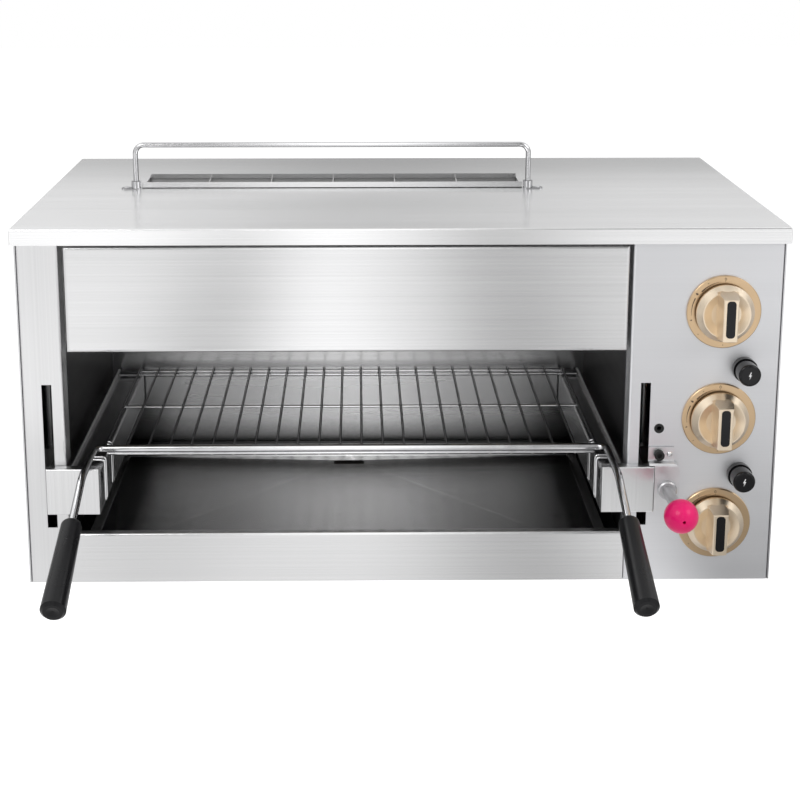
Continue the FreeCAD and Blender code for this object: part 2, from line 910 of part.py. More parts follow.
def burner_body(middle):
    """Cast burner box, open below, with its mixing tube on top."""
    half = burner_width / 2
    back = (burner_front, burner_front + burner_length)
    top = deck_top + burner_height
    shell = box((middle - half, middle + half), back, (deck_top, top))
    flange = box((middle - half - burner_flange, middle + half + burner_flange),
                 (back[0] - burner_flange, back[1] + burner_flange),
                 (deck_top, deck_top + burner_flange_sheet))
    level = venturi_level()
    mouth = burner_front + venturi_inset
    end = mouth + venturi_length
    mixing_tube = turned([(0, 0), (0, venturi_mouth_radius), (venturi_mouth_length, venturi_radius),
                          (venturi_length, venturi_radius), (venturi_length, 0)],
                         (middle, mouth, level), (0, 1, 0))
    neck_back = end - venturi_radius
    neck = rod(neck_radius, (middle, neck_back, top - burner_wall), (middle, neck_back, level))
    whole = joined([shell, flange, mixing_tube, neck])
    inside = box((middle - half + burner_wall, middle + half - burner_wall),
                 (back[0] + burner_wall, back[1] - burner_wall),
                 (deck_top - overrun, top - burner_wall))
    bore = turned([(-overrun, 0), (-overrun, venturi_mouth_radius), (0, venturi_mouth_radius - venturi_wall),
                   (venturi_mouth_length, venturi_radius - venturi_wall),
                   (venturi_length - venturi_wall, venturi_radius - venturi_wall),
                   (venturi_length - venturi_wall, 0)],
                  (middle, mouth, level), (0, 1, 0))
    drop = rod(neck_radius - venturi_wall, (middle, neck_back, top - venturi_rise),
               (middle, neck_back, level))
    return whole.cut([inside, bore, drop])


def venturi_level():
    """Height of the middle of the mixing tubes."""
    return deck_top + burner_height + venturi_rise


def ceramic_plate(middle):
    """The glowing plate, lying on its screen inside the burner."""
    half = burner_width / 2 - burner_wall - fit_gap
    low = deck_top + screen_thickness
    return box((middle - half, middle + half),
               (burner_front + burner_wall + fit_gap, burner_front + burner_length - burner_wall - fit_gap),
               (low, low + ceramic_thickness))


def burner_screen(middle):
    """Frame with crossing bars that lies on the deck below the plate."""
    half = burner_width / 2 - burner_wall - fit_gap
    back = (burner_front + burner_wall + fit_gap, burner_front + burner_length - burner_wall - fit_gap)
    up = (deck_top, deck_top + screen_thickness)
    frame = box((middle - half, middle + half), back, up)
    opening = (back[0] + screen_frame, back[1] - screen_frame)
    wide = (middle - half + screen_frame, middle + half - screen_frame)
    gap = (wide[1] - wide[0] - screen_bars * screen_bar_width) / (screen_bars + 1)
    cuts = []
    for index in range(screen_bars + 1):
        left = wide[0] + index * (gap + screen_bar_width)
        cuts.append(box((left, left + gap), opening, (up[0] - overrun, up[1] + overrun)))
    return frame.cut(cuts)


def gas_manifold():
    """Supply pipe from the rear inlet up past the three taps."""
    back = body_depth + inlet_stick_out
    top = max(knob_levels) + manifold_over_top
    corners = [(manifold_across, gas_back, top), (manifold_across, gas_back, manifold_level),
               (manifold_across, back - overrun, manifold_level)]
    pipe = bent_wire(manifold_radius, corners, [0, manifold_bend, 0])
    fitting = rod(inlet_radius, (manifold_across, body_depth, manifold_level),
                  (manifold_across, back, manifold_level))
    nut_start = rear_face - sheet - inlet_nut_length
    nut = turned([(0, 0), (0, inlet_nut_radius), (inlet_nut_length, inlet_nut_radius), (inlet_nut_length, 0)],
                 (manifold_across, nut_start, manifold_level), (0, 1, 0))
    branches = []
    for level in knob_levels:
        branches.append(rod(tap_inlet_radius - spindle_gap, (knob_across + tap_inlet_end, gas_back, level),
                            (manifold_across, gas_back, level)))
    neck = rod(inlet_neck_radius, (manifold_across, rear_face - sheet, manifold_level),
               (manifold_across, body_depth, manifold_level))
    whole = joined([pipe, fitting, neck, nut] + branches)
    bore = rod(inlet_bore, (manifold_across, rear_face, manifold_level),
               (manifold_across, back + overrun, manifold_level))
    return whole.cut(bore)


def gas_tap(level):
    """Brass tap behind the control panel, with posts that hold it there."""
    end = tap_front + tap_length
    body = rod(tap_radius, (knob_across, tap_front, level), (knob_across, end, level))
    inlet = rod(tap_inlet_radius, (knob_across, gas_back, level),
                (knob_across + tap_inlet_end, gas_back, level))
    outlet = rod(tap_outlet_radius, (knob_across, gas_back, level),
                 (knob_across - tap_outlet_end, gas_back, level))
    posts = []
    for side in (-1, 1):
        up = level + side * tap_post_offset
        posts.append(rod(tap_post_radius, (knob_across, sheet, up), (knob_across, tap_front + overrun, up)))
    whole = joined([body, inlet, outlet] + posts)
    bore = rod(spindle_radius + spindle_gap, (knob_across, tap_front - overrun, level),
               (knob_across, tap_front + tap_bore_depth, level))
    return whole.cut(bore)


def gas_feed_tube(index):
    """Thin tube from one tap, up its own lane, to the injector of a burner."""
    level = knob_levels[index]
    start = knob_across - tap_outlet_end
    riser = knob_across - feed_riser_offset - index * feed_riser_pitch
    lane = venturi_level() + (len(knob_levels) - 1 - index) * feed_lane_pitch
    middle = burner_middles()[index]
    corners = [(start, gas_back, level), (riser, gas_back, level), (riser, gas_back, lane),
               (middle, gas_back, lane)]
    if lane > venturi_level():
        corners.append((middle, gas_back, venturi_level()))
    corners.append((middle, injector_back, venturi_level()))
    radii = [0] + [feed_bend] * (len(corners) - 2) + [0]
    return bent_wire(feed_radius, corners, radii)


def injector(middle):
    """Brass injector held in the mouth of the mixing tube by three ribs."""
    level = venturi_level()
    end = injector_back + injector_length
    body = turned([(0, 0), (0, injector_radius), (injector_length * injector_shoulder_share, injector_radius),
                   (injector_length, injector_radius / 2), (injector_length, 0)],
                  (middle, injector_back, level), (0, 1, 0))
    mouth = burner_front + venturi_inset
    half = injector_rib / 2
    rib = box((middle - half, middle + half), (end - injector_rib, mouth),
              (level, level + venturi_mouth_radius))
    foot = box((middle - half, middle + half), (injector_back, end),
               (level, level + venturi_mouth_radius))
    return joined([body, rib, foot])


def electrode(middle):
    """Ceramic spark electrode with its bent wire tip under the burners."""
    low = deck_level - electrode_below
    body = rod(electrode_radius, (middle, electrode_back, low),
               (middle, electrode_back, low + electrode_length))
    tip_level = low - electrode_tip_bend - electrode_tip_radius
    corners = [(middle, electrode_back, low + fit_gap), (middle, electrode_back, tip_level),
               (middle, electrode_back + electrode_tip_length, tip_level)]
    tip = bent_wire(electrode_tip_radius, corners, [0, electrode_tip_bend, 0])
    return joined([body, tip])


def thermocouple(middle):
    """Flame sensor that pokes through the deck beside a burner."""
    across = middle + thermocouple_offset
    low = deck_level - thermocouple_below
    return rod(thermocouple_radius, (across, electrode_back, low),
               (across, electrode_back, low + thermocouple_length))


def guide_places():
    """Across and back places of the four guide rods."""
    return [(cavity_across + side * guide_across, back) for side in (-1, 1) for back in guide_backs]


def guide_rods():
    """Upright rods that the lift slides on."""
    return [rod(guide_radius, (across, back, guide_bottom), (across, back, guide_top))
            for across, back in guide_places()]


def guide_brackets():
    """A foot under each guide rod and an angle that holds its top."""
    pieces = []
    for side in (-1, 1):
        across = cavity_across + side * guide_across
        inner = cavity_across + side * liner_outer
        far = across + side * guide_foot_half
        for back in guide_backs:
            reach = (back - guide_foot_half, back + guide_foot_half)
            foot = box((across - guide_foot_half, across + guide_foot_half), reach,
                       (sheet, guide_foot_height))
            top = box((inner, far), reach, (guide_top - guide_bracket_sheet, guide_top))
            wall = box((inner, inner + side * guide_bracket_wall), reach,
                       (guide_top - guide_bracket_drop, guide_top))
            hole = rod(guide_radius + spindle_gap, (across, back, guide_bottom),
                       (across, back, guide_top + overrun))
            pieces.append(foot.cut(hole))
            pieces.append(joined([top, wall]).cut(hole))
    return pieces


def carriage(side):
    """Plate in the side compartment with a bush block round each guide rod."""
    near = cavity_across + side * plate_inner
    far = cavity_across + side * plate_outer
    up = (block_bottom + block_sheet, block_top - block_sheet)
    front = -block_reach + block_sheet
    plate = box((near, far), (front, plate_back), up)
    across = cavity_across + side * guide_across
    blocks = []
    holes = []
    for back in guide_backs:
        blocks.append(box((far, across + side * bush_reach),
                          (back - bush_half_length, back + bush_half_length), up))
        holes.append(rod(guide_radius + fit_gap, (across, back, up[0] - overrun),
                         (across, back, up[1] + overrun)))
    low = up[0] + window_inset
    high = up[1] - window_inset
    spans = (guide_backs[0] + bush_half_length + window_gap, guide_backs[1] - bush_half_length - window_gap)
    length = (spans[1] - spans[0] - (plate_windows - 1) * window_gap) / plate_windows
    for index in range(plate_windows):
        start = spans[0] + index * (length + window_gap)
        outline = [(start, low), (start + length, low), (start + length, high), (start, high)]
        holes.append(prism("across", outline, even(outline, window_corner),
                           min(near, far) - overrun, max(near, far) + overrun))
    return joined([plate] + blocks).cut(holes)


def cross_tie_bar():
    """Flat bar behind the cooking space that makes both carriages rise together."""
    across = (cavity_across - plate_inner, cavity_across + plate_inner)
    middle = (block_bottom + block_top) / 2
    return box(across, (tie_bar_back, tie_bar_back + tie_bar_thickness),
               (middle - tie_bar_height / 2, middle + tie_bar_height / 2))


def front_block(side):
    """Shallow folded box, open at the back, that rides in front of its slot."""
    inner = rack_across + side * block_inner
    outer = rack_across + side * block_outer
    back = (-block_reach, block_rear)
    shape = box((inner, outer), back, (block_bottom, block_top))
    front_edges = [edge for edge in shape.Edges if edge.BoundBox.YMax < place(0, back[0] + fit_gap, 0).y]
    shape = shape.makeFillet(block_bend, front_edges)
    hollow = box((inner + side * block_sheet, outer - side * block_sheet),
                 (back[0] + block_sheet, overrun), (block_bottom + block_sheet, block_top - block_sheet))
    return shape.cut(hollow)


def carrier(side):
    """Folded carrier: a deep skirt, a web that the rack slides on and a flange."""
    skirt = rack_across + side * block_inner
    outer = cavity_across + side * (opening_half - channel_clearance)
    flange = outer - side * channel_lip
    path = [(outer, block_top), (flange, block_top), (flange, channel_web_level),
            (skirt, channel_web_level), (skirt, block_bottom)]
    shape = folded("back", path, side * channel_sheet, channel_sheet / 2, block_rear, channel_end)
    high = channel_web_level - channel_sheet - skirt_window_margin
    window = box((skirt - side * overrun, skirt + side * (channel_sheet + fit_gap)),
                 (skirt_window_front, skirt_window_front + skirt_window_length),
                 (high - skirt_window_height, high))
    return shape.cut(window)


def handle_arm():
    """Lever plate: a front plate, a shelf and an index plate near the panel."""
    front = -block_reach
    left = rack_across + block_outer
    right = left + arm_width
    shelf_top = arm_shelf_level + arm_sheet
    index_front = -arm_index_gap - arm_sheet
    path = [(front, block_bottom + block_sheet), (front, shelf_top), (index_front, shelf_top),
            (index_front, arm_index_top)]
    plate = folded("across", path, -arm_sheet, arm_bend, arm_index_left, right)
    low = (block_bottom, arm_shelf_level)
    keep_low = box((left, right), (front - overrun, overrun), (low[0], shelf_top))
    keep_high = box((arm_index_left, arm_index_right), (front - overrun, overrun),
                    (arm_shelf_level, arm_index_top))
    plate = plate.common(joined([keep_low, keep_high]))
    outline = [(left, low[0]), (right, low[0]), (right, shelf_top), (left, shelf_top)]
    rounding = prism("back", outline, [0, 0, arm_corner, 0], front - overrun, overrun)
    upper = box((arm_index_left, arm_index_right), (front - overrun, overrun),
                (arm_shelf_level, arm_index_top + overrun))
    plate = plate.common(joined([rounding, upper]))
    nose = rod(plunger_nose_radius + spindle_gap, (plunger_across, -block_reach, plunger_level),
               (plunger_across, overrun, plunger_level))
    return plate.cut(nose)


def lever_rod():
    """Turned lever with a wider collar at its root."""
    front = -block_reach
    edge = lever_collar_radius - lever_collar_edge
    reach = lever_rod_end - block_reach
    corners = [(0, 0), (0, lever_collar_radius),
               (lever_collar_length - lever_collar_edge, lever_collar_radius),
               (lever_collar_length, edge), (lever_collar_length, lever_rod_radius),
               (reach, lever_rod_radius), (reach, 0)]
    return turned(corners, (lever_across, front, lever_level), (0, -1, 0))


def lever_ball():
    """Round plastic knob on the lever, with a small blind hole in front."""
    ball = Part.makeSphere(lever_ball_radius, place(lever_across, -lever_ball_out, lever_level))
    socket = rod(lever_rod_radius + rail_fit, (lever_across, 0, lever_level),
                 (lever_across, -lever_rod_end, lever_level))
    pole = -lever_ball_out - lever_ball_radius
    hole = rod(lever_ball_hole_radius, (lever_across, pole - overrun, lever_level),
               (lever_across, pole + lever_ball_hole_depth, lever_level))
    return ball.cut([socket, hole])


def detent_plunger():
    """Spring plunger in the index plate, with a socket in its head."""
    seat = -arm_index_gap - arm_sheet
    head = rod(plunger_radius, (plunger_across, seat, plunger_level),
               (plunger_across, seat - plunger_length, plunger_level))
    nose = rod(plunger_nose_radius, (plunger_across, seat - fit_gap, plunger_level),
               (plunger_across, -arm_index_gap, plunger_level))
    socket = rod(plunger_socket_radius, (plunger_across, seat - plunger_length - overrun, plunger_level),
                 (plunger_across, seat - plunger_length + plunger_socket_depth, plunger_level))
    return joined([head, nose]).cut(socket)


def arm_screw():
    """Screw that holds the lever arm on its block."""
    seat = -arm_index_gap - arm_sheet
    return dome_screw((arm_screw_across, seat, plunger_level), (0, -1, 0), arm_screw_radius, arm_screw_height)


def detent_bushes():
    """Flanged bushes in the panel that the plunger drops into."""
    bushes = []
    for level in detent_levels():
        corners = [(0, detent_bore), (0, detent_radius), (detent_head, detent_radius),
                   (detent_head, detent_body_radius), (detent_length, detent_body_radius),
                   (detent_length, detent_bore)]
        bushes.append(turned(corners, (plunger_across, -detent_head, level), (0, 1, 0)))
    return bushes


def runner_back():
    """Back place of the lower rear wire, which touches the rear rail."""
    between = rear_wire_radius + runner_wire_radius - weld_sink
    return rack_rear - math.sqrt(between ** 2 - (rear_wire_level() - runner_level()) ** 2)


def rear_wire_level():
    """Middle level of the rear wire, sunk a little in the wires above it."""
    return rack_wire_level - rack_wire_radius - rear_wire_radius + weld_sink


def runner_level():
    """Middle level of the wire that slides on the carriers."""
    return channel_web_level + runner_wire_radius + fit_gap


def handle_level():
    """Middle level of the handle rods, just over the front blocks."""
    return block_top + handle_wire_radius + fit_gap


def rack_grid():
    """Welded grid: long wires over cross wires, with a loop at each side."""
    pieces = []
    step = 2 * rack_wire_half_span / (rack_wires - 1)
    for index in range(rack_wires):
        across = rack_across - rack_wire_half_span + index * step
        pieces.append(rod(rack_wire_radius, (across, rack_front, rack_wire_level),
                          (across, rack_rear + rear_wire_radius, rack_wire_level)))
    half = rack_wire_half_span + cross_wire_overhang
    span = (rack_across - half, rack_across + half)
    cross_level = rack_wire_level - rack_wire_radius - cross_wire_radius + weld_sink
    pieces.append(rod(cross_wire_radius, (span[0], cross_wire_back, cross_level),
                      (span[1], cross_wire_back, cross_level)))
    pieces.append(rod(rear_wire_radius, (span[0], rack_rear, rear_wire_level()),
                      (span[1], rack_rear, rear_wire_level())))
    reach = opening_half - channel_clearance - channel_lip - rail_end_gap
    pieces.append(rod(runner_wire_radius, (cavity_across - reach, runner_back(), runner_level()),
                      (cavity_across + reach, runner_back(), runner_level())))
    for side in (-1, 1):
        pieces.append(rack_loop(side, max(loop_backs), rack_wire_half_span))
    return joined(pieces).cut(rack_frame())


def rack_frame():
    """Front rail bent forward at both ends into the handle rods."""
    level = handle_level()
    along = math.radians(handle_slope)
    inside = grip_bore_depth * math.cos(along)
    rod_end = grip_start_out + inside
    low = level - (rod_end - handle_knee_out) * math.tan(along)
    corners = []
    for side in (-1, 1):
        across = rack_across + side * handle_half_span
        arm = [(across, -rod_end, low), (across, -handle_knee_out, level), (across, rack_front, level)]
        corners += arm if side < 0 else arm[::-1]
    radii = [0, handle_knee_bend, handle_corner, handle_corner, handle_knee_bend, 0]
    front_level = level - handle_wire_radius - front_wire_radius + weld_sink
    half = block_inner - front_wire_clearance
    pieces = [bent_wire(handle_wire_radius, corners, radii),
              rod(front_wire_radius, (rack_across - half, front_wire_back, front_level),
                  (rack_across + half, front_wire_back, front_level))]
    for side in (-1, 1):
        pieces.append(rack_loop(side, min(loop_backs), handle_half_span))
    return joined(pieces)


def rack_loop(side, back, root):
    """Hairpin loop of wire that hangs from the rack and guides it sideways."""
    across = rack_across + side * loop_across
    end = rack_across + side * root
    near = back - loop_half
    far = back + loop_half
    corners = [(end, near, rack_wire_level), (across, near, rack_wire_level),
               (across, near, loop_bottom), (across, far, loop_bottom),
               (across, far, rack_wire_level), (end, far, rack_wire_level)]
    return bent_wire(loop_wire_radius, corners, [0] + even(corners[1:-1], loop_bend) + [0])


def rack_grip(side):
    """Tapered moulded grip with a rounded shoulder and a dished end."""
    along = math.radians(handle_slope)
    level = handle_level() - (grip_start_out - handle_knee_out) * math.tan(along)
    start = (rack_across + side * handle_half_span, -grip_start_out, level)
    direction = FreeCAD.Vector(0, -math.cos(along), -math.sin(along))
    shape = turned([(0, 0), (0, grip_start_radius), (grip_length, grip_end_radius), (grip_length, 0)],
                   start, tuple(direction))
    shoulder = nearest_circles(shape, place(*start), fit_gap)
    shape = shape.makeFillet(grip_shoulder, shoulder)
    rim = nearest_circles(shape, place(*start) + direction * grip_length, fit_gap)
    shape = shape.makeChamfer(grip_edge, rim)
    dish = turned([(grip_length - grip_dish, 0), (grip_length + overrun, 0),
                   (grip_length + overrun, grip_end_radius), (grip_length, grip_end_radius - 2 * grip_edge)],
                  start, tuple(direction))
    bore = turned([(-overrun, 0), (-overrun, handle_wire_radius + grip_bore_gap),
                   (grip_bore_depth, handle_wire_radius + grip_bore_gap), (grip_bore_depth, 0)],
                  start, tuple(direction))
    return shape.cut([dish, bore])


def nearest_circles(shape, middle, reach):
    """Round edges whose centre lies at the given place."""
    found = []
    for edge in shape.Edges:
        if isinstance(edge.Curve, Part.Circle) and (edge.Curve.Center - middle).Length < reach:
            found.append(edge)
    return found


def flat_ring(across, back, level):
    """The wire of a rectangle at one level."""
    corners = [place(across[0], back[0], level), place(across[1], back[0], level),
               place(across[1], back[1], level), place(across[0], back[1], level)]
    return Part.makePolygon(corners + corners[:1])


def tray_form(shrink, drop):
    """The form of the tray: sloped walls above a floor creased to its drain."""
    half = tray_half - shrink
    front = tray_front + tray_lip + shrink
    rear = tray_rear - tray_lip - shrink
    rim = flat_ring((cavity_across - half, cavity_across + half), (front, rear), tray_rim + drop)
    floor_half = half - tray_slope
    floor_back = (front + tray_slope, rear - tray_slope)
    floor = flat_ring((cavity_across - floor_half, cavity_across + floor_half), floor_back,
                      tray_edge_level)
    drain = flat_ring(drain_across(0), (drain_back - drain_width / 2, drain_back + drain_width / 2),
                      tray_middle_level)
    walls = Part.makeLoft([floor, rim], True, True)
    bottom = Part.makeLoft([drain, floor], True, True)
    return walls, bottom


def drain_across(extra):
    """Across limits of the drain slot, grown by an extra on both sides."""
    return (cavity_across - drain_length / 2 - extra, cavity_across + drain_length / 2 + extra)


def drip_tray():
    """Lift out tray whose floor falls along four creases to a drain slot."""
    down = FreeCAD.Vector(0, 0, -tray_sheet)
    outer_walls, outer_bottom = tray_form(0, tray_sheet)
    outer_bottom.translate(down)
    outer_walls.translate(down)
    lip = box((cavity_across - tray_half - tray_lip, cavity_across + tray_half + tray_lip),
              (tray_front, tray_rear), (tray_rim - tray_sheet, tray_rim))
    inner_walls, inner_bottom = tray_form(tray_sheet, 0)
    mouth = box((cavity_across - tray_half + tray_sheet, cavity_across + tray_half - tray_sheet),
                (tray_front + tray_lip + tray_sheet, tray_rear - tray_lip - tray_sheet),
                (tray_rim - fit_gap, tray_rim + overrun))
    drain = box(drain_across(0), (drain_back - drain_width / 2, drain_back + drain_width / 2),
                (0, tray_rim))
    whole = joined([outer_walls, outer_bottom, lip])
    return whole.cut([inner_walls, inner_bottom, mouth, drain])


def tray_rails():
    """Angles on the liner that the lip of the tray rests on."""
    rails = []
    for side in (-1, 1):
        wall = cavity_across + side * liner_half
        inner = cavity_across + side * tray_rail_inner
        top = tray_rim - tray_sheet - fit_gap
        path = [(inner, top), (wall, top), (wall, top - tray_rail_height)]
        rails.append(folded("back", path, -side * tray_rail_sheet, bend, tray_rail_front, tray_rail_rear))
    return rails


def grease_cup():
    """Shallow cup on the base below the drain."""
    back = (drain_back - cup_width / 2, drain_back + cup_width / 2)
    across = (cavity_across - cup_length / 2, cavity_across + cup_length / 2)
    outer = box(across, back, (sheet, sheet + cup_height))
    inner = box((across[0] + cup_wall, across[1] - cup_wall), (back[0] + cup_wall, back[1] - cup_wall),
                (sheet + cup_wall, sheet + cup_height + overrun))
    return outer.cut(inner)


def dial_bezel(level):
    """Round plate behind a knob, with a bevelled rim."""
    corners = [(0, bezel_bore), (0, bezel_radius), (bezel_thickness - bezel_edge, bezel_radius),
               (bezel_thickness, bezel_radius - bezel_edge), (bezel_thickness, bezel_bore)]
    return turned(corners, (knob_across, 0, level), (0, -1, 0))


def knob_outline(half, flare, top, bottom, back, level):
    """Closed wire of the grip bar's section at one distance behind the front face."""
    bend_at = top * knob_bar_flare_share
    ends = [(-half, -bottom), (half, -bottom), (half, bend_at), (half + flare, top), (-half - flare, top),
            (-half, bend_at)]
    points = [place(knob_across + first, back, level + second) for first, second in ends]
    return Part.makePolygon(points + points[:1])


def knob_bar(level):
    """Tapered grip bar whose upper end flares and slopes back to the rim."""
    rear = -bezel_thickness - knob_lift_off - knob_skirt
    root = knob_outline(knob_bar_root_half, knob_bar_flare, knob_bar_reach, knob_bar_reach, rear, level)
    short = knob_bar_reach - knob_bar_taper
    top = short - knob_bar_top_slope
    edge = knob_bar_edge
    shoulder = knob_outline(knob_bar_half, knob_bar_face_flare, top, short, edge - knob_face, level)
    face = knob_outline(knob_bar_half - edge, knob_bar_face_flare, top - edge, short - edge,
                        -knob_face, level)
    bar = Part.makeLoft([root, shoulder, face], True, True)
    ends = Part.makeCone(knob_bar_reach, short, knob_face + rear, place(knob_across, rear, level),
                         FreeCAD.Vector(0, -1, 0))
    return bar.common(ends)


def knob(level):
    """Knob with a round skirt, a raised rim round two scooped halves, and a grip bar."""
    rear = -bezel_thickness - knob_lift_off
    scoop_radius = knob_rim_radius * knob_scoop_share
    scoop = knob_rim - knob_scoop_sink
    skirt = turned([(0, 0), (0, knob_radius), (knob_skirt, knob_radius), (knob_rim, knob_rim_radius),
                    (knob_rim, knob_rim_radius - knob_rim_width), (scoop, scoop_radius),
                    (knob_floor, 0)], (knob_across, rear, level), (0, -1, 0))
    bore = rod(spindle_radius + spindle_gap, (knob_across, rear + overrun, level),
               (knob_across, -spindle_front, level))
    return joined([skirt, knob_bar(level)]).cut([bore, insert_form(level, fit_gap / 2)])


def insert_form(level, grow):
    """The oblong of the pointer insert, grown for the recess that holds it."""
    half = knob_insert_half_width + grow
    reach = knob_insert_half_length + grow
    outline = [(-half, -reach), (half, -reach), (half, reach), (-half, reach)]
    corners = [(knob_across + first, level + second) for first, second in outline]
    rounding = half * insert_round_share
    front = -knob_face - knob_insert_proud
    return prism("back", corners, even(corners, rounding), front, -knob_face + knob_insert_depth)


def knob_insert(level):
    """Oblong insert in the grip bar of a knob."""
    return insert_form(level, 0)


def spindle(level):
    """Valve spindle with a flat on its knob end."""
    shaft = rod(spindle_radius, (knob_across, -spindle_front, level), (knob_across, spindle_rear, level))
    flat = box((knob_across - spindle_radius, knob_across + spindle_radius),
               (-spindle_front - overrun, -bezel_thickness - knob_lift_off),
               (level + spindle_radius * spindle_flat_share, level + spindle_radius + overrun))
    return shaft.cut(flat)


def return_collar(level):
    """Sprung collar that pushes the spindle back out."""
    return tube(collar_radius, spindle_radius + spindle_gap, (knob_across, collar_front, level),
                (knob_across, collar_front + collar_length, level))


def igniter_sleeve(level):
    """Fixed sleeve of an igniter, with its body behind the panel."""
    rim = igniter_cap_radius + fit_gap
    bore = igniter_stem_radius + fit_gap
    corners = [(-igniter_ring_length, rim), (-igniter_ring_length, igniter_ring_radius),
               (0, igniter_ring_radius), (0, igniter_body_radius),
               (igniter_body_length, igniter_body_radius), (igniter_body_length, bore),
               (-igniter_floor, bore), (-igniter_floor, rim)]
    return turned(corners, (igniter_across, 0, level), (0, 1, 0))


def igniter_button(level):
    """Domed push cap and its stem."""
    rear = igniter_ring_length + fit_gap
    cap = turned([(0, 0), (0, igniter_cap_radius), (igniter_cap_front - rear, igniter_cap_radius),
                  (igniter_cap_front - rear, 0)], (igniter_across, -rear, level), (0, -1, 0))
    rim = nearest_circles(cap, place(igniter_across, -igniter_cap_front, level), fit_gap)
    cap = cap.makeFillet(igniter_cap_edge, rim)
    stem = rod(igniter_stem_radius, (igniter_across, -rear - overrun, level),
               (igniter_across, igniter_stem_rear, level))
    return joined([cap, stem])


def save(name, shape):
    """Write one named sub-part, which may be a group of separate solids."""
    if isinstance(shape, list):
        shape = Part.makeCompound(shape)
    shape.exportStep(os.path.join("parts", name + ".step"))


def casing():
    """Saves the sheet metal pieces."""
    save("base_panel", base_panel())
    save("left_side_panel", side_panel(-1))
    save("right_side_panel", side_panel(1))
    save("rear_panel", rear_panel())
    save("left_front_post", left_front_post())
    save("control_panel", control_panel())
    save("lower_front_panel", lower_front_panel())
    save("hood_front_panel", hood_front_panel())
    save("top_cap", top_cap())
    save("gallery_rail", [gallery_rail()] + gallery_feet())
    save("casing_screws", gallery_screws() + casing_screws())
    save("liner_left", liner_side(-1))
    save("liner_right", liner_side(1))
    save("liner_rear", [liner_rear()] + corner_strips())
    save("flue_duct", flue_duct())
    save("tray_rails", tray_rails())
    save("grease_cup", grease_cup())


def burners():
    """Saves the burners and the gas line."""
    middles = burner_middles()
    save("burner_deck", burner_deck())
    save("burner_bodies", [burner_body(middle) for middle in middles])
    save("burner_ceramics", [ceramic_plate(middle) for middle in middles])
    save("burner_screens", [burner_screen(middle) for middle in middles])
    save("electrodes_and_sensors", [electrode(middle) for middle in electrode_middles()]
         + [thermocouple(middle) for middle in middles])
    save("gas_manifold", gas_manifold())
    save("gas_taps", [gas_tap(level) for level in knob_levels])
    save("gas_feed_tubes", [gas_feed_tube(index) for index in range(len(knob_levels))]
         + [injector(middle) for middle in middles])


def lift():
    """Saves the lift, the rack and the tray."""
    save("guide_rods", guide_rods())
    save("guide_brackets", guide_brackets())
    save("detent_bushes", detent_bushes())
    for side, word in ((-1, "left"), (1, "right")):
        save(word + "_carriage", carriage(side))
        save(word + "_front_block", front_block(side))
        save(word + "_carrier", carrier(side))
        save(word + "_grip", rack_grip(side))
    save("cross_tie_bar", cross_tie_bar())
    save("lever_arm", [handle_arm(), arm_screw()])
    save("lever_rod", lever_rod())
    save("lever_ball", lever_ball())
    save("detent_plunger", detent_plunger())
    save("rack_grid", rack_grid())
    save("rack_frame", rack_frame())
    save("drip_tray", drip_tray())


def controls():
    """Saves the taps, knobs and igniters."""
    save("dial_bezels", [dial_bezel(level) for level in knob_levels])
    save("igniter_sleeves", [igniter_sleeve(level) for level in igniter_levels])
    for index, level in enumerate(knob_levels):
        number = str(index + 1)
        save("knob_" + number, knob(level))
        save("knob_insert_" + number, knob_insert(level))
        save("spindle_" + number, spindle(level))
        save("return_collar_" + number, return_collar(level))
    for index, level in enumerate(igniter_levels):
        save("igniter_button_" + str(index + 1), igniter_button(level))


os.makedirs("parts", exist_ok=True)
casing()
burners()
lift()
controls()
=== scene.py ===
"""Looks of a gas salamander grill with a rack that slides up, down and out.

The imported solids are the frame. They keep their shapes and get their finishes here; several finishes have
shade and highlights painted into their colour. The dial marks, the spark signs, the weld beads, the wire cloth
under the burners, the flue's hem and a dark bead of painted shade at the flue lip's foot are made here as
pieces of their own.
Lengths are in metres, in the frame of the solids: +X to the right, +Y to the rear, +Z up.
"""

import math

import bmesh
import bpy
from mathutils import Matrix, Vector


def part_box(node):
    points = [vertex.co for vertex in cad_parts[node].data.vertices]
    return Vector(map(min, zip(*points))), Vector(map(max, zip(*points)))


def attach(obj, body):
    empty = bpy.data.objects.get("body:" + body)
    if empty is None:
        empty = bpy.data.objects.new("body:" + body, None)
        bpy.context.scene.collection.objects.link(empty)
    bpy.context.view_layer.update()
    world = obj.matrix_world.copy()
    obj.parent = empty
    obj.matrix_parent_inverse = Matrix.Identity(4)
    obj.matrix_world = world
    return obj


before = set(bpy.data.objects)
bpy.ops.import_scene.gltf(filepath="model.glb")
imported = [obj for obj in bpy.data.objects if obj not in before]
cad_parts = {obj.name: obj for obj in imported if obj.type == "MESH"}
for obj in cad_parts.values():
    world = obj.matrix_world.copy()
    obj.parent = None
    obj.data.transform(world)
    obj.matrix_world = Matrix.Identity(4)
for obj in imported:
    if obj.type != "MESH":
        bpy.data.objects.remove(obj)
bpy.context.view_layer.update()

# Patterns of the finishes: scales are per metre, and a pair is the span of a value or of a tone
PATTERN_SPAN = (0.3, 0.7)
GRAIN_SPREAD = 0.85
GRAIN_LENGTH = 1.5
GRAIN_WIDTH = 900.0
GRAIN_STRETCH = {
    "across": (GRAIN_LENGTH, GRAIN_WIDTH, GRAIN_WIDTH),
    "back": (GRAIN_WIDTH, GRAIN_LENGTH, GRAIN_WIDTH),
    "up": (GRAIN_WIDTH, GRAIN_WIDTH, GRAIN_LENGTH),
}
ROUND_AXIS = {"across": "X", "back": "Y", "up": "Z"}
WIDE_GRAIN_POWER = 0.62
WIDE_GRAIN_SCALE = 0.9
GRAIN_ROUGH_SPAN = (0.93, 1.07)
CLOUD_SCALE = 4.0
RUB_SCALE = 60.0
RUB_ROUGH_SPAN = (0.85, 1.2)
